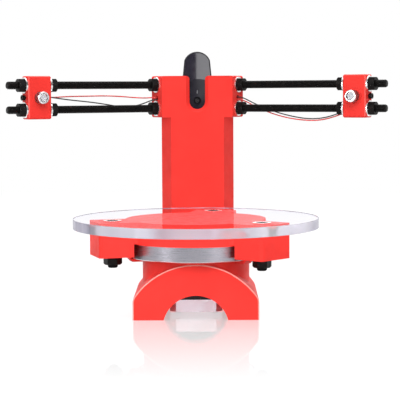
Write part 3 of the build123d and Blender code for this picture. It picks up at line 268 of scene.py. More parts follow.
def spread(source, places, name, axis=UP):
    """Copies of a piece, turned to an axis, at each place, as one object instead of the piece."""
    made = [copy_to(source, f"{name}_{number}", place, axis) for number, place in enumerate(places)]
    bpy.data.objects.remove(source)
    clear_selection()
    for copy in made:
        copy.select_set(True)
    bpy.context.view_layer.objects.active = made[0]
    bpy.ops.object.join()
    return named(name)


def settle(piece, body, finish, stands_for=(), smooth=35):
    """Applies a piece's place, smooths it, and gives it its body, slot and finish."""
    only(piece)
    bpy.ops.object.transform_apply(location=True, rotation=True, scale=True)
    bpy.ops.object.shade_smooth_by_angle(angle=math.radians(smooth))
    piece.data.materials.clear()
    piece.data.materials.append(finish)
    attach(piece, body)
    if stands_for:
        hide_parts(*stands_for)


def dress(finish, *nodes):
    """Gives CAD nodes a finish."""
    for node in nodes:
        mesh = NODES[node].data
        mesh.materials.clear()
        mesh.materials.append(finish)


# Material helpers


class Nodes:
    """The node tree of a material or a world, and short ways to fill it."""

    def __init__(self, owner, coordinates="Object"):
        owner.use_nodes = True
        self.owner = owner
        self.tree = owner.node_tree
        self.place = self.add("ShaderNodeTexCoord").outputs[coordinates]

    def feed(self, socket, value):
        """Sets a socket's own value, or links it to an output or to a node's first output."""
        if isinstance(value, bpy.types.Node):
            value = value.outputs[0]
        if isinstance(value, bpy.types.NodeSocket):
            self.tree.links.new(value, socket)
        else:
            socket.default_value = (*value, 1.0) if socket.type == "RGBA" else value

    def add(self, kind, *inputs, **named_inputs):
        """Adds a node and feeds its inputs, in order or by name."""
        node = self.tree.nodes.new(kind)
        for socket, value in zip(node.inputs, inputs):
            self.feed(socket, value)
        for name, value in named_inputs.items():
            self.feed(node.inputs[name.replace("_", " ")], value)
        return node

    def noise(self, scale, detail=3.0, stretch=None):
        """Noise in object space, finer along the axes that are stretched."""
        place = self.add("ShaderNodeMapping", Vector=self.place, Scale=stretch) if stretch else self.place
        return self.add("ShaderNodeTexNoise", Vector=place, Scale=scale, Detail=detail).outputs["Fac"]

    def span(self, value, low, high, start=0.35, end=0.65):
        """Maps a range, by default a texture's middle one, to a low and a high value."""
        return self.add("ShaderNodeMapRange", value, From_Min=start, From_Max=end, To_Min=low, To_Max=high)

    def blend(self, factor, first, second):
        """A colour between two colours."""
        mix = self.add("ShaderNodeMix", factor)
        mix.data_type = "RGBA"
        self.feed(mix.inputs[6], first)
        self.feed(mix.inputs[7], second)
        return mix.outputs[2]

    def varied(self, pattern, first, second, start=0.35, end=0.65):
        """A colour that a texture varies between two colours."""
        return self.blend(self.span(pattern, 0.0, 1.0, start, end), first, second)

    def number(self, operation, first, *others):
        """A sum with numbers, one after the other."""
        for other in others:
            first = self.add("ShaderNodeMath", first, other)
            first.operation = operation
        return first

    def vector(self, operation, *values):
        """A sum with vectors, as a vector or a number."""
        node = self.add("ShaderNodeVectorMath", *values)
        node.operation = operation
        return node.outputs["Value" if operation in ("DOT_PRODUCT", "DISTANCE", "LENGTH") else "Vector"]

    def axis(self, name):
        """One coordinate of the place."""
        return self.add("ShaderNodeSeparateXYZ", self.place).outputs[name]

    def leaning(self, direction, low, high):
        """Grows from zero to one as the surface turns towards a direction."""
        normal = self.add("ShaderNodeNewGeometry").outputs["Normal"]
        return self.span(self.vector("DOT_PRODUCT", normal, direction), 0.0, 1.0, low, high)

    def any_ray(self, *kinds):
        """One for the named kinds of ray, and zero for the rest."""
        path = self.add("ShaderNodeLightPath")
        return self.number("MAXIMUM", *(path.outputs[kind] for kind in kinds))


class Finish(Nodes):
    """A material with one Principled shader."""

    def __init__(self, name, colour, roughness, metallic=0.0):
        super().__init__(bpy.data.materials.new(name))
        self.shader = self.tree.nodes["Principled BSDF"]
        self.set("Base Color", colour).set("Roughness", roughness).set("Metallic", metallic)

    def set(self, socket, value):
        """Feeds one of the shader's sockets."""
        self.feed(self.shader.inputs[socket], value)
        return self

    def rough(self, pattern, low, high):
        """Varies the roughness with a texture."""
        return self.set("Roughness", self.span(pattern, low, high))

    def patchy(self, pattern, first, second, low, high):
        """Varies the colour and the roughness with a texture."""
        return self.set("Base Color", self.varied(pattern, first, second)).rough(pattern, low, high)

    def relief(self, height, strength, distance):
        """Raises the surface, on top of any earlier relief."""
        bump = self.add("ShaderNodeBump", Strength=strength, Distance=distance, Height=height)
        normal = self.shader.inputs["Normal"]
        if normal.is_linked:
            self.feed(bump.inputs["Normal"], normal.links[0].from_socket)
        return self.set("Normal", bump)

    def brushed_round(self, centre, share):
        """Fine lines round an upright axis, which spread each mirror image up and down."""
        out = self.vector("SUBTRACT", self.place, centre)
        along = self.add("ShaderNodeVectorTransform", self.vector("CROSS_PRODUCT", out, UP))
        along.vector_type = "VECTOR"
        along.convert_from = "OBJECT"
        along.convert_to = "WORLD"
        return self.set("Tangent", along).set("Anisotropic", share)


class Surface(Nodes):
    """A material of separate shaders."""

    def __init__(self, name):
        super().__init__(bpy.data.materials.new(name))
        self.tree.nodes.remove(self.tree.nodes["Principled BSDF"])

    def mix(self, share, first, second):
        """A shader between two shaders."""
        return self.add("ShaderNodeMixShader", share, first, second)

    def show(self, shader):
        """Makes a shader the material's surface."""
        self.feed(self.tree.nodes["Material Output"].inputs["Surface"], shader)
        return self.owner

    def acrylic_mirror(self, least):
        """A weak reflection, and a full one where light can't leave the sheet."""
        trapped = self.number("GREATER_THAN", self.add("ShaderNodeFresnel", IOR=ACRYLIC_IOR), 0.995)
        return self.number("MAXIMUM", trapped, least)

    def show_glazing(self, shader, tint):
        """Makes a shader the surface, which lets lamps through, dimmed by a tint."""
        shade = self.add("ShaderNodeBsdfTransparent", Color=tint)
        return self.show(self.mix(self.any_ray("Is Shadow Ray"), shader, shade))

    def white_glow(self, seen, level):
        """White light that only the seen rays get."""
        return self.add("ShaderNodeEmission", Strength=self.number("MULTIPLY", seen, level))


def scaled(colour, share):
    """A colour with its channels times a share, up to white."""
    return tuple(min(1.0, channel * share) for channel in colour)


def red_plastic(name="red_plastic", edges=None):
    """Moulded red plastic: a faint mottle, a satin sheen and a very fine grain, with a painted highlight on
    some rounded edges when a mask for them is given.
    """
    red = colours().red_plastic
    finish = Finish(name, red, 0.46)
    shade = finish.varied(finish.noise(38.0, 4.0), scaled(red, 0.94), scaled(red, 1.04))
    # Painted highlight: where the edge mask is high, the colour goes to the pale highlight colour
    if edges:
        shade = finish.blend(edges(finish), shade, PAINTED_EDGE_HIGHLIGHT)
    finish.set("Base Color", shade).rough(finish.noise(160.0, 5.0), 0.42, 0.56)
    finish.relief(finish.noise(2600.0, 2.0), 0.12, 0.00008)
    finish.relief(finish.noise(22.0, 2.0), 0.06, 0.0003)
    return finish.set("Specular IOR Level", 0.13).owner


def painted_front_rim_highlight(finish):
    """Mask for a painted highlight on the rounded rim round the base's front, within a small depth of its face.
    """
    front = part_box("base_housing")[0].y
    near = finish.span(finish.axis("Y"), 1.0, 0.0, front + 0.0009, front + 0.0011)
    turning = finish.leaning(FORWARD, 0.2, 0.5)
    curved = finish.leaning(FORWARD, 0.995, 0.95)
    return finish.number("MULTIPLY", turning, curved, near)


def painted_holder_highlights(side):
    """Mask for a painted highlight on a holder's rounded edges between its front and its top, and between its
    front and its outer side.
    """
    corner = Vector(JOINTS[f"laser_{side}_roll"]["axis"]) + Vector(JOINTS[f"clamp_{side}_turn"]["axis"])

    def edges(finish):
        upper = finish.span(finish.leaning((0.0, -0.5, 0.866), 0.8, 0.97), 0.0, 0.45, 0.0, 1.0)
        outer = finish.span(finish.leaning(corner.normalized(), 0.93, 0.99), 0.0, 0.34, 0.0, 1.0)
        return finish.number("MAXIMUM", upper, outer)

    return edges


def clear_face():
    """Flat faces of the disc: clear, with a weak mirror image and a faint haze of fine scratches."""
    tint = colours().acrylic
    surface = Surface("clear_acrylic")
    pane = surface.add("ShaderNodeBsdfRefraction", Color=tint, Roughness=0.0, IOR=ACRYLIC_IOR)
    scratches = surface.span(surface.noise(420.0, 5.0), 0.0, 0.035, 0.56, 0.78)
    mirror = surface.add("ShaderNodeBsdfGlossy", Color=WHITE, Roughness=scratches)
    shader = surface.mix(surface.acrylic_mirror(0.075), pane, mirror)
    return surface.show_glazing(shader, scaled(tint, 0.96))


def clear_rim():
    """Sawn rim of the disc: upright saw marks, cloudier and greyer than the faces, with painted light on its
    front-right side, which is paler and less cloudy.
    """
    tint = colours().acrylic
    surface = Surface("clear_rim")
    marks = surface.noise(52.0, 6.0, (1.0, 1.0, 0.03))
    broad = surface.noise(11.0, 2.0, (1.0, 1.0, 0.02))
    sawn = surface.add("ShaderNodeBump", Strength=0.35, Distance=0.0006, Height=marks)
    shade = surface.varied(marks, scaled(tint, 0.86), tint)
    dull = surface.span(marks, 0.1, 0.26)
    pane = surface.add("ShaderNodeBsdfGlass", Color=shade, Roughness=dull, IOR=ACRYLIC_IOR, Normal=sawn)
    low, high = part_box("clear_disc")
    # Painted light: the rim towards the front right is painted pale and mixed with less cloud, and the rest is
    # painted greyer
    out = surface.vector("SUBTRACT", surface.place, (low + high) / 2)
    toward = surface.vector("DOT_PRODUCT", out, (1.5, -9.89, 0.0))
    lit_side = surface.span(toward, 0.0, 1.0, 0.44, 0.6)
    pale = surface.number("MULTIPLY", lit_side, surface.span(broad, 0.55, 1.0, 0.4, 0.6))
    streaks = surface.varied(marks, (0.24, 0.23, 0.31), (0.42, 0.41, 0.52), 0.4, 0.6)
    haze = surface.blend(pale, streaks, (0.97, 0.95, 1.0))
    cloud = surface.add("ShaderNodeBsdfPrincipled", Base_Color=haze, Roughness=0.3, Normal=sawn)
    share = surface.span(lit_side, 0.66, 0.4, 0.0, 1.0)
    return surface.show_glazing(surface.mix(share, pane, cloud), scaled(tint, 0.9))


def black_steel():
    """Black oxide on steel: a deep satin with slightly browner, duller patches."""
    black = colours().black_steel
    finish = Finish("black_steel", black, 0.4)
    finish.patchy(finish.noise(220.0, 4.0), scaled(black, 0.8), (0.009, 0.0075, 0.007), 0.3, 0.46)
    finish.relief(finish.noise(3000.0, 2.0), 0.1, 0.00005)
    return finish.set("Specular IOR Level", 0.12).owner


def zinc():
    """Bright zinc plate with fine turning marks and dull spots."""
    colour = colours().zinc
    finish = Finish("zinc_steel", colour, 0.24, 1.0)
    finish.patchy(finish.noise(420.0, 4.0), scaled(colour, 0.86), colour, 0.18, 0.34)
    return finish.relief(finish.noise(1800.0, 2.0), 0.08, 0.00004).owner


def disc_screw_places():
    """The middles of the disc's three screws, at the height of its top."""
    low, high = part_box("clear_disc")
    centre = Vector(((low.x + high.x) / 2, (low.y + high.y) / 2, high.z))
    for number in range(3):
        angle = sizes().first_screw + math.radians(120 * number)
        yield centre + Vector((math.cos(angle), math.sin(angle), 0)) * sizes().screw_circle


def screw_steel():
    """Disc screws: bright zinc on a ring on top of each head, and painted shade, near black, in the socket
    mouths and on the cones and shanks.
    """
    colour = colours().zinc
    finish = Finish("disc_screw_steel", colour, 0.25, 1.0)
    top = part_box("disc_screws")[1].z
    masks = [finish.span(finish.axis("Z"), 0.0, 1.0, top - 0.0003, top - 0.0002), finish.leaning(UP, 0.5, 0.7)]
    for middle in disc_screw_places():
        outside = finish.vector("DISTANCE", finish.place, middle)
        masks.append(finish.span(outside, 0.0, 1.0, 0.0045, 0.0050))
    head = finish.number("MULTIPLY", *masks)
    marks = finish.noise(500.0, 3.0)
    bright = finish.varied(marks, scaled(colour, 0.8), colour)
    # Painted shade: near black everywhere outside the bright ring, in the socket mouths and on the cones and
    # shanks
    finish.set("Base Color", finish.blend(head, scaled(colours().black_steel, 2.0), bright))
    return finish.set("Metallic", head).set("Specular IOR Level", 0.0).rough(marks, 0.2, 0.36).owner


def bearing_steel():
    """Ground bearing steel: satin, with fine lines round the axis, and painted highlight lines along the top
    and bottom edges of the outer ring.
    """
    colour = colours().bearing_steel
    finish = Finish("bearing_steel", colour, 0.27, 1.0)
    lines = finish.noise(60.0, 3.0, (0.6, 0.6, 90.0))
    shade = finish.varied(lines, scaled(colour, 0.9), scaled(colour, 1.08))
    low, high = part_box("bearing_outer_ring")
    # Painted highlight: a pale line just inside the outer ring's bottom and top edges
    for edge, inward in ((low.z, 1), (high.z, -1)):
        pale = finish.span(finish.axis("Z"), 0.8, 0.0, edge + inward * 0.0004, edge + inward * 0.0009)
        shade = finish.blend(pale, shade, (0.8, 0.82, 0.84))
    finish.set("Base Color", shade).rough(lines, 0.24, 0.34).relief(lines, 0.03, 0.00004)
    return finish.brushed_round((low + high) / 2, 0.5).owner


def pressed_steel():
    """Pressed cage steel, a warmer and duller grey."""
    finish = Finish("cage_steel", (0.44, 0.42, 0.4), 0.4, 1.0)
    finish.rough(finish.noise(300.0, 4.0), 0.32, 0.5)
    return finish.relief(finish.noise(900.0, 3.0), 0.1, 0.00006).owner


def cast_aluminium():
    """Die-cast motor ends: pale, softly matt, with a cast grain."""
    finish = Finish("motor_aluminium", (0.95, 0.9, 0.98), 0.42, 0.7)
    grain = finish.noise(260.0, 5.0)
    return finish.rough(grain, 0.34, 0.52).relief(grain, 0.12, 0.00008).owner


def laminated_steel():
    """The motor's stack of black coated sheets, half a millimetre each."""
    finish = Finish("motor_black", (0.012, 0.012, 0.014), 0.45, 0.3)
    sheets = finish.add("ShaderNodeTexWave", Vector=finish.place, Scale=1000.0)
    sheets.bands_direction = "Z"
    finish.relief(sheets.outputs["Fac"], 0.35, 0.00008)
    return finish.rough(finish.noise(300.0, 3.0), 0.38, 0.55).owner


def gloss(name, colour, low, high, coat=0.6, specular=0.5):
    """Glossy moulded plastic with a faint ripple."""
    finish = Finish(name, colour, low)
    finish.patchy(finish.noise(240.0, 2.0), scaled(colour, 0.94), scaled(colour, 1.06), low, high)
    finish.relief(finish.noise(45.0, 1.0), 0.03, 0.0002)
    finish.set("Coat Weight", coat).set("Coat Roughness", 0.015)
    return finish.set("Specular IOR Level", specular).owner


def matt(name, colour, low=0.45, high=0.62, specular=0.5):
    """Matt moulded plastic with a fine spark-eroded grain."""
    finish = Finish(name, colour, low)
    grain = finish.noise(1500.0, 3.0)
    finish.patchy(grain, scaled(colour, 0.9), scaled(colour, 1.08), low, high).relief(grain, 0.15, 0.00006)
    return finish.set("Specular IOR Level", specular).owner


def plated(name, colour, low=0.12, high=0.26):
    """Plated metal with a light haze."""
    finish = Finish(name, colour, low, 1.0)
    finish.patchy(finish.noise(380.0, 4.0), scaled(colour, 0.9), colour, low, high)
    return finish.relief(finish.noise(1500.0, 2.0), 0.06, 0.00004).owner


def laser_nickel():
    """Plated laser barrel: a bright satin face, and duller sides with turning marks."""
    finish = Finish("laser_nickel", (0.9, 0.9, 0.91), 0.3, 1.0)
    face = finish.leaning(FORWARD, 0.5, 0.95)
    haze = finish.noise(200.0, 3.0)
    sides = finish.varied(haze, (0.3, 0.27, 0.27), (0.46, 0.42, 0.42))
    finish.set("Base Color", finish.blend(face, sides, (0.93, 0.93, 0.95))).rough(haze, 0.28, 0.36)
    return finish.relief(finish.noise(900.0, 2.0), 0.03, 0.00004).owner


def lens_glass(name, colour, transmission, coat=1.0):
    """Coated optical glass."""
    finish = Finish(name, colour, 0.02)
    finish.set("Transmission Weight", transmission).set("IOR", LENS_IOR).set("Coat Weight", coat)
    return finish.relief(finish.noise(120.0, 1.0), 0.02, 0.0001).owner


def circuit_board(name, colour):
    """Solder mask over copper: fine straight tracks and tinned holes in a grid."""
    finish = Finish(name, colour, 0.3)
    upright = finish.add("ShaderNodeMapping", Vector=finish.place, Rotation=(math.radians(90), 0, 0))
    tracks = finish.add(
        "ShaderNodeTexBrick",
        Vector=upright,
        Color1=scaled(colour, 1.0),
        Color2=scaled(colour, 1.25),
        Mortar=scaled(colour, 1.9),
        Scale=1.0,
        Mortar_Size=0.00022,
        Brick_Width=0.0103,
        Row_Height=0.0021,
    )
    finish.set("Base Color", tracks.outputs["Color"]).relief(tracks.outputs["Fac"], 0.2, 0.00004)
    return finish.rough(finish.noise(400.0, 2.0), 0.24, 0.4).owner


def floor_finish():
    """White floor: a soft shadow and a mirror image near the object, and plain white further out."""
    surface = Surface("floor")
    seen = surface.any_ray("Is Camera Ray", "Is Glossy Ray", "Is Transmission Ray")
    distance = surface.vector("LENGTH", surface.place)
    paint = surface.add("ShaderNodeBsdfDiffuse", Color=(0.3, 0.3, 0.3))
    lit = surface.add("ShaderNodeAddShader", paint, surface.white_glow(seen, 0.74))
    mirror = surface.add("ShaderNodeBsdfGlossy", Color=WHITE, Roughness=0.0)
    near = surface.mix(surface.span(distance, 0.44, 0.08, 0.22, 0.46), lit, mirror)
    outward = surface.span(distance, 0.0, 1.0, 0.45, 1.3)
    return surface.show(surface.mix(outward, near, surface.white_glow(seen, 1.0)))


def card_finish():
    """A bright card behind the camera, which the glossy front of the webcam mirrors."""
    surface = Surface("light_card")
    return surface.show(surface.add("ShaderNodeEmission", Strength=2.6))


def studio_light(sky):
    """White where it is seen, dim behind the lamps where metal mirrors it, and soft where it only lights."""
    light = Nodes(sky, "Generated")
    mirrored = light.span(light.axis("Y"), 0.08, 1.0, -0.5, 0.6)
    lit = light.add("ShaderNodeMix", Factor=light.any_ray("Is Glossy Ray"), A=0.42, B=mirrored)
    seen = light.any_ray("Is Camera Ray", "Is Transmission Ray", "Is Singular Ray")
    backdrop = light.tree.nodes["Background"]
    light.feed(backdrop.inputs["Color"], WHITE)
    light.feed(backdrop.inputs["Strength"], light.add("ShaderNodeMix", Factor=seen, A=lit, B=1.0))


# Wires and places on an arm


def arm_point(side, along, toward, rise):
    """A point near an arm: out along it, towards the turntable from it, and above it."""
    laser = JOINTS[f"laser_{side}_roll"]
    outward = Vector(JOINTS[f"clamp_{side}_turn"]["axis"])
    reach = outward * (along - sizes().holder_middle)
    return Vector(laser["pos_m"]) + reach + Vector(laser["axis"]) * toward + Vector((0, 0, rise))


# Wire routes: out along the arm, towards the turntable from it and above its middle, in metres
LEFT_RED = [
    (0.1362, -0.0155, 0.0016), (0.1362, -0.0204, 0.0016), (0.1336, -0.0256, 0.0014),
    (0.1275, -0.0282, 0.0006), (0.1190, -0.0256, 0.0000), (0.1075, -0.0188, 0.0001),
    (0.0935, -0.0124, 0.0010), (0.0760, -0.0094, 0.0011), (0.0570, -0.0090, 0.0014),
    (0.0395, -0.0092, 0.0007), (0.0265, -0.0090, -0.0003), (0.0165, -0.0078, -0.0011),
    (0.0090, -0.0049, -0.0012), (0.0030, -0.0020, -0.0007), (-0.0035, 0.0003, -0.0004),
    (-0.0125, -0.0008, -0.0006),
]
LEFT_BLACK = [
    (0.1362, -0.0155, -0.0016), (0.1362, -0.0198, -0.0016), (0.1326, -0.0236, -0.0008),
    (0.1262, -0.0250, 0.0008), (0.1180, -0.0226, 0.0012), (0.1070, -0.0164, -0.0008),
    (0.0930, -0.0110, -0.0029), (0.0760, -0.0090, -0.0046), (0.0585, -0.0086, -0.0069),
    (0.0420, -0.0092, -0.0096), (0.0290, -0.0094, -0.0104), (0.0185, -0.0088, -0.0090),
    (0.0110, -0.0072, -0.0066), (0.0055, -0.0043, -0.0041), (0.0004, -0.0012, -0.0029),
    (-0.0055, 0.0005, -0.0026), (-0.0125, -0.0008, -0.0028),
]
RIGHT_BLACK = [
    (0.1362, -0.0155, 0.0016), (0.1362, -0.0200, 0.0016), (0.1340, -0.0246, 0.0002),
    (0.1295, -0.0270, -0.0034), (0.1235, -0.0265, -0.0083), (0.1155, -0.0225, -0.0138),
    (0.1050, -0.0165, -0.0190), (0.0920, -0.0120, -0.0228), (0.0760, -0.0102, -0.0234),
    (0.0590, -0.0098, -0.0209), (0.0430, -0.0094, -0.0172), (0.0295, -0.0086, -0.0130),
    (0.0190, -0.0076, -0.0089), (0.0115, -0.0058, -0.0052), (0.0060, -0.0032, -0.0019),
    (0.0008, -0.0008, -0.0006), (-0.0055, 0.0006, -0.0004), (-0.0125, -0.0008, -0.0006),
]
RIGHT_RED = [
    (0.1362, -0.0155, -0.0016), (0.1362, -0.0200, -0.0016), (0.1336, -0.0244, -0.0034),
    (0.1286, -0.0264, -0.0072), (0.1220, -0.0254, -0.0120), (0.1135, -0.0210, -0.0170),
    (0.1030, -0.0150, -0.0216), (0.0900, -0.0104, -0.0249), (0.0740, -0.0086, -0.0249),
    (0.0560, -0.0084, -0.0228), (0.0410, -0.0082, -0.0193), (0.0280, -0.0078, -0.0152),
    (0.0175, -0.0080, -0.0113), (0.0105, -0.0074, -0.0074), (0.0050, -0.0044, -0.0044),
    (0.0000, -0.0010, -0.0029), (-0.0060, 0.0005, -0.0026), (-0.0125, -0.0008, -0.0028),
]

# Inside the column: distance from its middle plane, then the object's Y and Z
UPPER_DROP = [
    (0.0272, 0.2166, 0.1720), (0.0234, 0.2224, 0.1670), (0.0214, 0.2268, 0.1575),
    (0.0199, 0.2286, 0.1450), (0.0174, 0.2266, 0.1345), (0.01454, 0.2217, 0.1293),
    (0.01454, 0.2217, 0.1240),
]
LOWER_DROP = [
    (0.0252, 0.2154, 0.1698), (0.0209, 0.2210, 0.1652), (0.0186, 0.2260, 0.1560),
    (0.0171, 0.2280, 0.1440), (0.0136, 0.2264, 0.1340), (0.00946, 0.2217, 0.1293),
    (0.00946, 0.2217, 0.1240),
]
WIRES = {
    "laser_wire_left_red": ("left", LEFT_RED, UPPER_DROP, 0.2235),
    "laser_wire_left_black": ("left", LEFT_BLACK, LOWER_DROP, 0.2243),
    "laser_wire_right_red": ("right", RIGHT_RED, LOWER_DROP, 0.2328),
    "laser_wire_right_black": ("right", RIGHT_BLACK, UPPER_DROP, 0.2338),
}


class SCANNER_OT_camera(bpy.types.Operator):
    """Adds the camera at the photograph's place"""

    bl_idname = "scanner.camera"
    bl_label = "Camera"

    place: bpy.props.FloatVectorProperty(name="Place", default=(0.00803, -1.3113, 0.18052), subtype="XYZ")
    yaw: bpy.props.FloatProperty(name="Yaw", default=math.radians(-0.22), subtype="ANGLE")
    pitch: bpy.props.FloatProperty(name="Pitch down", default=math.radians(4.334), subtype="ANGLE")
    roll: bpy.props.FloatProperty(name="Roll", default=math.radians(0.315), subtype="ANGLE")
    lens: bpy.props.FloatProperty(name="Lens", default=129.825)

    def execute(self, context):
        clear_selection()
        bpy.ops.object.camera_add(location=self.place)
        camera = context.object
        level = Vector((math.cos(self.yaw), -math.sin(self.yaw), 0))
        ahead = Vector((math.sin(self.yaw), math.cos(self.yaw), 0))
        forward = ahead * math.cos(self.pitch) - Vector((0, 0, math.sin(self.pitch)))
        upright = ahead * math.sin(self.pitch) + Vector((0, 0, math.cos(self.pitch)))
        right = level * math.cos(self.roll) - upright * math.sin(self.roll)
        up = level * math.sin(self.roll) + upright * math.cos(self.roll)
        turn = Matrix((right, up, -forward)).transposed().to_4x4()
        camera.matrix_world = Matrix.Translation(self.place) @ turn
        camera.data.lens = self.lens
        camera.data.sensor_width = 36.0
        camera.data.clip_end = 100.0
        context.scene.camera = camera
        return {"FINISHED"}


class SCANNER_OT_laser_wires(bpy.types.Operator):
    """Lays the four laser wires from the boots to the terminals"""

    bl_idname = "scanner.laser_wires"
    bl_label = "Laser wires"

    def execute(self, context):
        diameter = sizes().wire_diameter
        finishes = {
            "red": gloss("wire_red", (0.85, 0.05, 0.045), 0.32, 0.45, 0.1),
            "black": gloss("wire_black", (0.012, 0.012, 0.014), 0.32, 0.45, 0.1),
        }
        for name, (side, lead, drop, length) in WIRES.items():
            sign = -1 if side == "left" else 1
            points = [arm_point(side, *corner) for corner in lead]
            points += [Vector((sign * x, y, z)) for x, y, z in drop]
            line = bpy.data.curves.new(f"{name}_cord", "CURVE")
            line.dimensions = "3D"
            spline = line.splines.new("NURBS")
            spline.points.add(len(points) - 1)
            for spot, point in zip(spline.points, points):
                spot.co = (*point, 1.0)
            spline.order_u = 3
            spline.use_endpoint_u = True
            spline.resolution_u = 6
            line.bevel_depth = diameter / 2
            line.bevel_resolution = 3
            line.use_fill_caps = True
            colour = name.rsplit("_", 1)[1]
            line.materials.append(finishes[colour])
            wire = bpy.data.objects.new(f"{name}_cord", line)
            context.scene.collection.objects.link(wire)
            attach(wire, "stand")
            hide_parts(name)
        return {"FINISHED"}


class SCANNER_OT_frame_finishes(bpy.types.Operator):
    """Finishes the red frame, the disc's screws, the bearing and the motor"""

    bl_idname = "scanner.frame_finishes"
    bl_label = "Frame finishes"

    def execute(self, context):
        dress(red_plastic(), "hub", "column")
        # The base gets a painted highlight on the rounded rim round its front
        dress(red_plastic("red_base_rim_highlight", painted_front_rim_highlight), "base_housing")
        # Each holder gets a painted highlight on its upper and outer front edges
        for side in SIDES:
            dress(red_plastic(f"red_holder_edge_highlight_{side}", painted_holder_highlights(side)), f"laser_holder_{side}")
        dress(screw_steel(), "disc_screws")
        steel = bearing_steel()
        dress(steel, "bearing_inner_ring", "bearing_outer_ring", "bearing_balls")
        dress(steel, "motor_bearings", "motor_rotor")
        dress(pressed_steel(), "ball_cage")
        dress(cast_aluminium(), "motor_rear_bell", "motor_front_bell")
        dress(laminated_steel(), "motor_stator")
        dress(matt("white_plastic", (0.82, 0.8, 0.74), 0.35, 0.5), "motor_socket", "motor_header")
        return {"FINISHED"}


class SCANNER_OT_clear_disc(bpy.types.Operator):
    """Turns the clear disc, eases its edges and countersinks its three holes"""

    bl_idname = "scanner.clear_disc"
    bl_label = "Clear disc"

    air_gap: bpy.props.FloatProperty(name="Air gap over the hub", default=0.00008, unit="LENGTH")
    edge_break: bpy.props.FloatProperty(name="Edge break", default=0.0004, unit="LENGTH")
    sink_radius: bpy.props.FloatProperty(name="Countersink radius", default=0.0076, unit="LENGTH")
    hole_radius: bpy.props.FloatProperty(name="Hole radius", default=0.0041, unit="LENGTH")
    drill_length: bpy.props.FloatProperty(name="Drill length", default=0.03, unit="LENGTH")

    def execute(self, context):
        low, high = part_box("clear_disc")
        centre = (low + high) / 2
        radius = (high.x - low.x) / 2
        bottom = low.z + self.air_gap
        middle = Vector((centre.x, centre.y, (bottom + high.z) / 2))
        pane = cylinder("disc_pane", radius, high.z - bottom, middle, sides=288)
        bevel(pane, self.edge_break, 3)
        depth = self.sink_radius - self.hole_radius
        for x, y, _ in disc_screw_places():
            cut_away(pane, cylinder("drill", self.hole_radius, self.drill_length, (x, y, centre.z), sides=64))
            clear_selection()
            bpy.ops.mesh.primitive_cone_add(
                vertices=64,
                radius1=self.hole_radius,
                radius2=self.sink_radius + self.hole_radius,
                depth=self.sink_radius,
                location=(x, y, high.z - depth + self.sink_radius / 2),
            )
            cut_away(pane, named("countersink"))
        settle(pane, "turntable", clear_face(), ["clear_disc"], 12)
        pane.data.materials.append(clear_rim())
        pick(pane, lambda face: (face.calc_center_median() - middle).xy.length > radius * 0.99)
        pane.active_material_index = 1
        bpy.ops.object.material_slot_assign()
        clear_selection()
        return {"FINISHED"}


class SCANNER_OT_fasteners(bpy.types.Operator):
    """Finishes the nuts, screws and washers"""

    bl_idname = "scanner.fasteners"
    bl_label = "Fasteners"

    def execute(self, context):
        steel = black_steel()
        dress(steel, "disc_nuts", "mount_screws", "motor_screws", "link_nuts", "board_screws")
        dress(steel, "arm_nuts_left", "arm_nuts_right", "clamp_screw_left", "clamp_screw_right")
        dress(zinc(), "link_washers", "arm_washers_left", "arm_washers_right")
        return {"FINISHED"}


def threaded_bar(name, length, radius):
    """A threaded bar along Z from the origin, with rounded ends."""
    pitch = sizes().thread_pitch
    root = radius - sizes().thread_depth
    clear_selection()
    bpy.ops.mesh.primitive_circle_add(vertices=5, radius=radius)
    bar = named(name)
    pick(bar, lambda edge: {vert.index for vert in edge.verts} == {0, 4}, "EDGE")
    bpy.ops.mesh.delete(type="EDGE")
    only(bar)
    profile = [(root, 0.0), (root, 0.25), (radius, 0.5625), (radius, 0.6875), (root, 1.0)]
    for vert, (reach, share) in zip(bar.data.vertices, profile):
        vert.co = (reach, 0, (share - 2) * pitch)
    screw = bar.modifiers.new("Thread", "SCREW")
    screw.screw_offset = pitch
    screw.iterations = math.ceil(length / pitch) + 3
    screw.steps = screw.render_steps = sizes().thread_steps
    screw.use_merge_vertices = True
    screw.use_normal_calculate = True
    bpy.ops.object.modifier_apply(modifier=screw.name)
    bpy.ops.object.mode_set(mode="EDIT")
    bpy.ops.mesh.select_all(action="SELECT")
    bpy.ops.mesh.remove_doubles(threshold=0.00001)
    slice_off((0, 0, 0), (0, 0, -1))
    slice_off((0, 0, length), (0, 0, 1))
    for end in (0.0, length):
        for share in (1.0, 0.6, 0.25):
            reach = sizes().rod_point * share
            pick(bar, lambda vert: abs(vert.co.z - end) < reach, "VERT")
            narrow(0.93, end)
    bpy.ops.mesh.select_all(action="SELECT")
    bpy.ops.mesh.normals_make_consistent(inside=False)
    clear_selection()
    return bar


class SCANNER_OT_threaded_rods(bpy.types.Operator):
    """Cuts the threads of the arm rods and the link rods"""

    bl_idname = "scanner.threaded_rods"
    bl_label = "Threaded rods"

    inside: bpy.props.FloatProperty(name="Length inside the head", default=0.022, unit="LENGTH")
    spacing: bpy.props.FloatProperty(name="Arm rod spacing", default=0.0245, unit="LENGTH")
    arm_reach: bpy.props.FloatProperty(name="Arm reach", default=0.1683, unit="LENGTH")
    radius: bpy.props.FloatProperty(name="Rod radius", default=0.004, unit="LENGTH")

    def execute(self, context):
        steel = black_steel()
        arm_bar = threaded_bar("arm_bar", self.inside + self.arm_reach, self.radius)
        for side in SIDES:
            outward = JOINTS[f"clamp_{side}_turn"]["axis"]
            for level, rise in (("upper", self.spacing / 2), ("lower", -self.spacing / 2)):
                start = arm_point(side, -self.inside, 0, rise)
                rod = copy_to(arm_bar, f"arm_thread_{side}_{level}", start, outward)
                settle(rod, "stand", steel, [f"arm_rod_{side}_{level}"])
        bpy.data.objects.remove(arm_bar)
        low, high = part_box("link_rods")
        link_bar = threaded_bar("link_bar", high.y - low.y, self.radius)
        across = high.x - self.radius
        starts = [(x, low.y, (low.z + high.z) / 2) for x in (-across, across)]
        links = spread(link_bar, starts, "link_threads", BACKWARD)
        settle(links, "stand", steel, ["link_rods"])
        return {"FINISHED"}


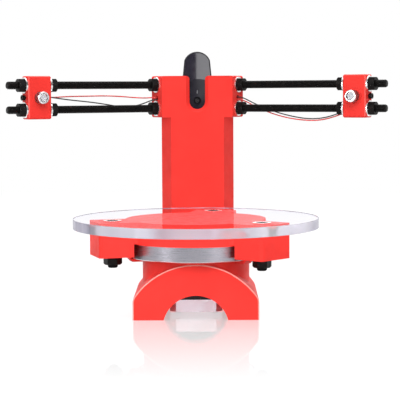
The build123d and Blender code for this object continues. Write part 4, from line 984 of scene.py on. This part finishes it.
class SCANNER_OT_webcam(bpy.types.Operator):
    """Finishes the webcam and models its stepped lens"""

    bl_idname = "scanner.webcam"
    bl_label = "Webcam"

    slot_length: bpy.props.FloatProperty(name="Microphone slot length", default=0.0038, unit="LENGTH")
    slot_width: bpy.props.FloatProperty(name="Microphone slot width", default=0.0011, unit="LENGTH")
    slot_rise: bpy.props.FloatProperty(name="Slot above the lens", default=0.009, unit="LENGTH")
    bar_depth: bpy.props.FloatProperty(name="Microphone bar depth", default=0.0012, unit="LENGTH")
    groove_width: bpy.props.FloatProperty(name="Groove width", default=0.00022, unit="LENGTH")

    def execute(self, context):
        black = colours().webcam
        dress(gloss("webcam_black", black, 0.02, 0.04, 0.9), "webcam_faceplate")
        dress(gloss("webcam_smoke", scaled(black, 0.6), 0.04, 0.08, 0.05, 0.22), "webcam_lens_plate")
        dress(matt("webcam_case", (0.012, 0.011, 0.016), 0.3, 0.42), "webcam_body")
        dress(matt("webcam_trim", (0.003, 0.003, 0.004), 0.5, 0.6, 0.06), "webcam_lens_ring")
        low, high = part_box("webcam_lens")
        centre = (low + high) / 2
        self.lens(centre, low.y, (high.x - low.x) / 2, high.y - low.y)
        self.microphone(low.y, centre.z)
        return {"FINISHED"}

    def lens(self, centre, front, radius, depth):
        """A barrel in three steps, and a dome of glass at its bottom."""
        barrel = cylinder("webcam_lens_steps", radius, depth, centre, FORWARD, 40)
        pick(barrel, facing(UP))
        for step, drop in ((0.14, 0.25), (0.16, 0.2), (0.14, 0.15)):
            bpy.ops.mesh.inset(thickness=radius * step)
            extrude((0, depth * drop, 0))
        trim = gloss("lens_barrel", (0.03, 0.029, 0.034), 0.3, 0.4, 0.0, 0.4)
        settle(barrel, "stand", trim, ["webcam_lens"], 20)
        clear_selection()
        bpy.ops.mesh.primitive_uv_sphere_add(segments=36, ring_count=18, radius=radius * 0.62)
        dome = named("webcam_lens_dome")
        bpy.ops.object.mode_set(mode="EDIT")
        slice_off((0, 0, 0), BACKWARD)
        clear_selection()
        dome.scale = (1, 0.5, 1)
        dome.location = (centre.x, front + depth * 0.55, centre.z)
        settle(dome, "stand", lens_glass("lens_glass", (0.003, 0.003, 0.006), 0.0, 0.15))

    def microphone(self, front, lens_height):
        """A pale grille bar with four grooves in the slot above the lens."""
        length, width, depth = self.slot_length, self.slot_width, self.bar_depth
        middle = Vector((0, front + depth, lens_height + self.slot_rise))
        bar = turned(cylinder("webcam_microphone", width / 2, depth, middle, sides=24), FORWARD)
        for sign in (-1, 1):
            pick(bar, lambda vert: vert.co.z * sign > 0.00001, "VERT")
            bpy.ops.transform.translate(value=(0, 0, sign * (length - width) / 2))
        bevel(bar, 0.00012)
        for number in range(4):
            height = middle.z + (number - 1.5) * length / 5
            place = (0, front + depth / 3, height)
            cut_away(bar, block("groove", (width * 0.6, depth, self.groove_width), place))
        settle(bar, "stand", matt("microphone_grey", (0.3, 0.3, 0.33), 0.4, 0.55))


class SCANNER_OT_lasers(bpy.types.Operator):
    """Finishes the laser barrels, their lenses and their boots"""

    bl_idname = "scanner.lasers"
    bl_label = "Lasers"

    def execute(self, context):
        dress(laser_nickel(), "laser_barrel_left", "laser_barrel_right")
        dress(lens_glass("laser_glass", (0.9, 0.91, 0.96), 0.3), "laser_lens_left", "laser_lens_right")
        dress(matt("black_rubber", (0.014, 0.014, 0.014), 0.6, 0.8), "laser_boot_left", "laser_boot_right")
        return {"FINISHED"}


class SCANNER_OT_controller(bpy.types.Operator):
    """Finishes the boards, the sockets, the header strips and the heat sink"""

    bl_idname = "scanner.controller"
    bl_label = "Controller"

    def execute(self, context):
        dress(circuit_board("board_blue", colours().board_blue), "controller_board")
        dress(circuit_board("board_red", colours().board_red), "driver_shield", "driver_module")
        dress(matt("header_black", (0.014, 0.014, 0.015)), "header_strips", "button_housing", "power_jack")
        dress(matt("button_black", (0.02, 0.02, 0.022), 0.3, 0.45), "reset_button")
        dress(plated("socket_steel", (0.7, 0.7, 0.72), 0.2, 0.34), "usb_socket")
        dress(plated("sink_aluminium", (0.5, 0.55, 0.62), 0.3, 0.45), "driver_heat_sink")
        dress(gloss("terminal_green", (0.02, 0.24, 0.06), 0.35, 0.5, 0.1), "laser_terminals")
        return {"FINISHED"}


def solder_joint():
    """A cone of solder round the end of a pin."""
    joint = cylinder("joint", 0.00085, 0.0005, (0, 0, 0.00025), sides=12)
    pick(joint, facing(UP))
    narrow(0.62, 0.0005)
    extrude((0, 0, 0.0003))
    narrow(0.6, 0.0008)
    extrude((0, 0, 0.0005))
    return turned(joint)


def slotted_screw(radius, depth):
    """A low screw head with a straight slot."""
    head = cylinder("head", radius, depth, (0, 0, 0), sides=28)
    bevel(head, depth * 0.25)
    cut_away(head, block("slot", (radius * 2.4, radius * 0.36, depth), (0, 0, depth / 2)))
    return turned(head)


class SCANNER_OT_board_parts(bpy.types.Operator):
    """Adds the capacitors, resistors, trimmer, solder joints and terminal screws to the boards"""

    bl_idname = "scanner.board_parts"
    bl_label = "Board parts"

    pin_pitch: bpy.props.FloatProperty(name="Pin pitch", default=0.00254, unit="LENGTH")
    header_reach: bpy.props.FloatProperty(name="Header row from the middle", default=0.024, unit="LENGTH")
    can_radius: bpy.props.FloatProperty(name="Capacitor radius", default=0.00315, unit="LENGTH")
    can_height: bpy.props.FloatProperty(name="Capacitor can height", default=0.0046, unit="LENGTH")
    can_reach: bpy.props.FloatProperty(name="Capacitor from the middle", default=0.0165, unit="LENGTH")
    foot_height: bpy.props.FloatProperty(name="Capacitor foot height", default=0.0009, unit="LENGTH")
    foot_margin: bpy.props.FloatProperty(name="Foot wider than the can", default=0.0003, unit="LENGTH")
    chip_height: bpy.props.FloatProperty(name="Chip under the heat sink", default=0.001, unit="LENGTH")
    row_inset: bpy.props.FloatProperty(name="Driver pins from its edge", default=0.00125, unit="LENGTH")

    def execute(self, context):
        shield_low, shield_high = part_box("driver_shield")
        driver_low, driver_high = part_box("driver_module")
        shield_back = shield_high.y
        driver_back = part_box("driver_heat_sink")[0].y - self.chip_height
        shield_middle = (shield_low.z + shield_high.z) / 2
        driver_middle = (driver_low.z + driver_high.z) / 2
        joints = []
        for side in (-1, 1):
            joints += self.pins(side * self.header_reach, shield_back, shield_middle, 18)
            joints += self.pins(side * (driver_high.x - self.row_inset), driver_back, driver_middle, 6)
        solder = plated("solder", (0.74, 0.75, 0.76), 0.16, 0.3)
        settle(spread(solder_joint(), joints, "solder_joints"), "stand", solder, smooth=50)
        self.capacitors([(side * self.can_reach, shield_back, driver_middle + 0.006) for side in (-1, 1)])
        self.resistors(
            "shield_resistors", 0.002, 0.0012,
            (-0.0185, -0.0155, -0.0125, 0.0125, 0.0155, 0.0185), shield_back,
            (driver_middle - 0.004, driver_middle - 0.0085),
        )
        self.resistors(
            "driver_resistors", 0.0016, 0.0008,
            (-0.0036, -0.0012, 0.0012, 0.0036), driver_back, (driver_low.z + 0.0022,),
        )
        steel = plated("trimmer_steel", (0.72, 0.72, 0.72))
        # Half a turn, as spread gives the other screws
        trimmer = turned(slotted_screw(0.0014, 0.0009), UP)
        trimmer.location = (0.0025, driver_back, driver_high.z - 0.0026)
        trimmer.name = "driver_trimmer"
        settle(trimmer, "stand", steel)
        self.terminal_screws(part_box("laser_terminals")[1], steel)
        return {"FINISHED"}

    def pins(self, x, y, middle, count):
        """The places of a row of pins, one above the other."""
        return [(x, y, middle + (number - (count - 1) / 2) * self.pin_pitch) for number in range(count)]

    def terminal_screws(self, corner, steel):
        """Two screws in each terminal block, placed from the blocks' far upper corner."""
        block_middle = corner.x - 0.0051
        places = []
        for side in (-1, 1):
            for step in (-1, 1):
                x = side * block_middle + step * self.pin_pitch
                places.append((x, corner.y - 0.0003, corner.z - 0.0034))
        screws = spread(slotted_screw(0.0018, 0.0008), places, "terminal_screws")
        settle(screws, "stand", steel)

    def capacitors(self, places):
        """Small round cans on square black feet, with a dark mark at the edge of the last one."""
        radius = self.can_radius
        side = 2 * radius + self.foot_margin
        can = cylinder("can", radius, self.can_height, (0, 0, 0), sides=40)
        bevel(can, 0.0004, 3)
        foot = block("foot", (side, side, self.foot_height), (0, 0, 0))
        bevel(foot, 0.0003)
        bare = (0.7, 0.71, 0.73)
        aluminium = Finish("can_aluminium", bare, 0.3, 1.0)
        aluminium.rough(aluminium.noise(300.0, 3.0), 0.24, 0.38)
        last = places[-1][0]
        mark = aluminium.span(aluminium.axis("X"), 0.0, 1.0, last + radius * 0.45, last + radius * 0.5)
        aluminium.set("Base Color", aluminium.blend(mark, bare, (0.02, 0.02, 0.03)))
        cans = spread(turned(can), places, "capacitor_cans")
        settle(cans, "stand", aluminium.owner)
        feet = spread(turned(foot), places, "capacitor_feet")
        settle(feet, "stand", matt("capacitor_foot", (0.012, 0.012, 0.013)))

    def resistors(self, name, length, width, columns, back, rows):
        """Black chip resistors with wider ends, in columns and rows."""
        height, end_share = 0.0005, 0.12
        body = block("body", (length, width, height), (0, 0, 0))
        for side in (1, -1):
            pick(body, facing((side, 0, 0)))
            extrude((side * length * end_share, 0, 0))
        bevel(body, 0.00006)
        chips = spread(turned(body), [(x, back, z) for x in columns for z in rows], name)
        settle(chips, "stand", matt(f"{name}_black", (0.02, 0.02, 0.024), 0.25, 0.4))


# Lamps: place, width, height and power
LAMPS = {
    "front": ((0.0, -1.9, 1.55), 1.5, 1.2, 26.0),
    "left_strip": ((-1.5, -1.4, 0.6), 0.2, 1.3, 13.5),
    "right_strip": ((1.15, -1.8, 0.6), 0.22, 1.2, 11.0),
    "top": ((0.1, 0.1, 1.8), 1.5, 1.5, 18.0),
    "back": ((0.4, 1.7, 1.1), 1.2, 1.2, 11.0),
}


class SCANNER_OT_stage(bpy.types.Operator):
    """Adds the pale floor, the soft lamps and the light card"""

    bl_idname = "scanner.stage"
    bl_label = "Stage"

    lamp_target: bpy.props.FloatVectorProperty(name="Lamp target", default=(0, 0, 0.1), subtype="XYZ")
    card_place: bpy.props.FloatVectorProperty(name="Card place", default=(0.14, -3.0, 0.36), subtype="XYZ")
    card_size: bpy.props.FloatVectorProperty(name="Card size", default=(0.32, 0.42), size=2)

    def execute(self, context):
        clear_selection()
        bpy.ops.mesh.primitive_plane_add(size=sizes().floor_size, location=(0, 0, 0))
        floor = named("floor")
        floor.data.materials.append(floor_finish())
        for name, (place, width, height, power) in LAMPS.items():
            bpy.ops.object.light_add(type="AREA", location=place)
            lamp = context.object
            lamp.name = name
            lamp.data.shape = "RECTANGLE"
            lamp.data.size = width
            lamp.data.size_y = height
            lamp.data.energy = power
            toward = Vector(self.lamp_target) - Vector(place)
            lamp.rotation_euler = toward.to_track_quat("-Z", "Y").to_euler()
        clear_selection()
        upright = (math.radians(90), 0, 0)
        bpy.ops.mesh.primitive_plane_add(size=1, location=self.card_place, rotation=upright)
        card = named("light_card")
        card.scale = (*self.card_size, 1)
        card.data.materials.append(card_finish())
        sky = bpy.data.worlds.new("studio")
        context.scene.world = sky
        studio_light(sky)
        context.scene.view_settings.view_transform = "Standard"
        return {"FINISHED"}


class SCANNER_PT_panel(bpy.types.Panel):
    """Lists the scanner's pieces in the sidebar"""

    bl_idname = "SCANNER_PT_panel"
    bl_label = "Scanner"
    bl_space_type = "VIEW_3D"
    bl_region_type = "UI"
    bl_category = "Scanner"

    def draw(self, context):
        for piece in PIECES:
            self.layout.operator(piece.bl_idname)
        for group in (context.scene.scanner_sizes, context.scene.scanner_colours):
            for name in group.__annotations__:
                self.layout.prop(group, name)


PIECES = (
    SCANNER_OT_camera,
    SCANNER_OT_laser_wires,
    SCANNER_OT_frame_finishes,
    SCANNER_OT_clear_disc,
    SCANNER_OT_fasteners,
    SCANNER_OT_threaded_rods,
    SCANNER_OT_webcam,
    SCANNER_OT_lasers,
    SCANNER_OT_controller,
    SCANNER_OT_board_parts,
    SCANNER_OT_stage,
)
CLASSES = (ScannerSizes, ScannerColours, *PIECES, SCANNER_PT_panel)


def register():
    for made in CLASSES:
        bpy.utils.register_class(made)
    bpy.types.Scene.scanner_sizes = bpy.props.PointerProperty(type=ScannerSizes)
    bpy.types.Scene.scanner_colours = bpy.props.PointerProperty(type=ScannerColours)


def unregister():
    del bpy.types.Scene.scanner_colours
    del bpy.types.Scene.scanner_sizes
    for made in reversed(CLASSES):
        bpy.utils.unregister_class(made)


def main():
    register()
    bpy.ops.scanner.camera()
    bpy.ops.scanner.laser_wires()
    bpy.ops.scanner.frame_finishes()
    bpy.ops.scanner.clear_disc()
    bpy.ops.scanner.fasteners()
    bpy.ops.scanner.threaded_rods()
    bpy.ops.scanner.webcam()
    bpy.ops.scanner.lasers()
    bpy.ops.scanner.controller()
    bpy.ops.scanner.board_parts()
    bpy.ops.scanner.stage()


if __name__ == "__main__":
    main()
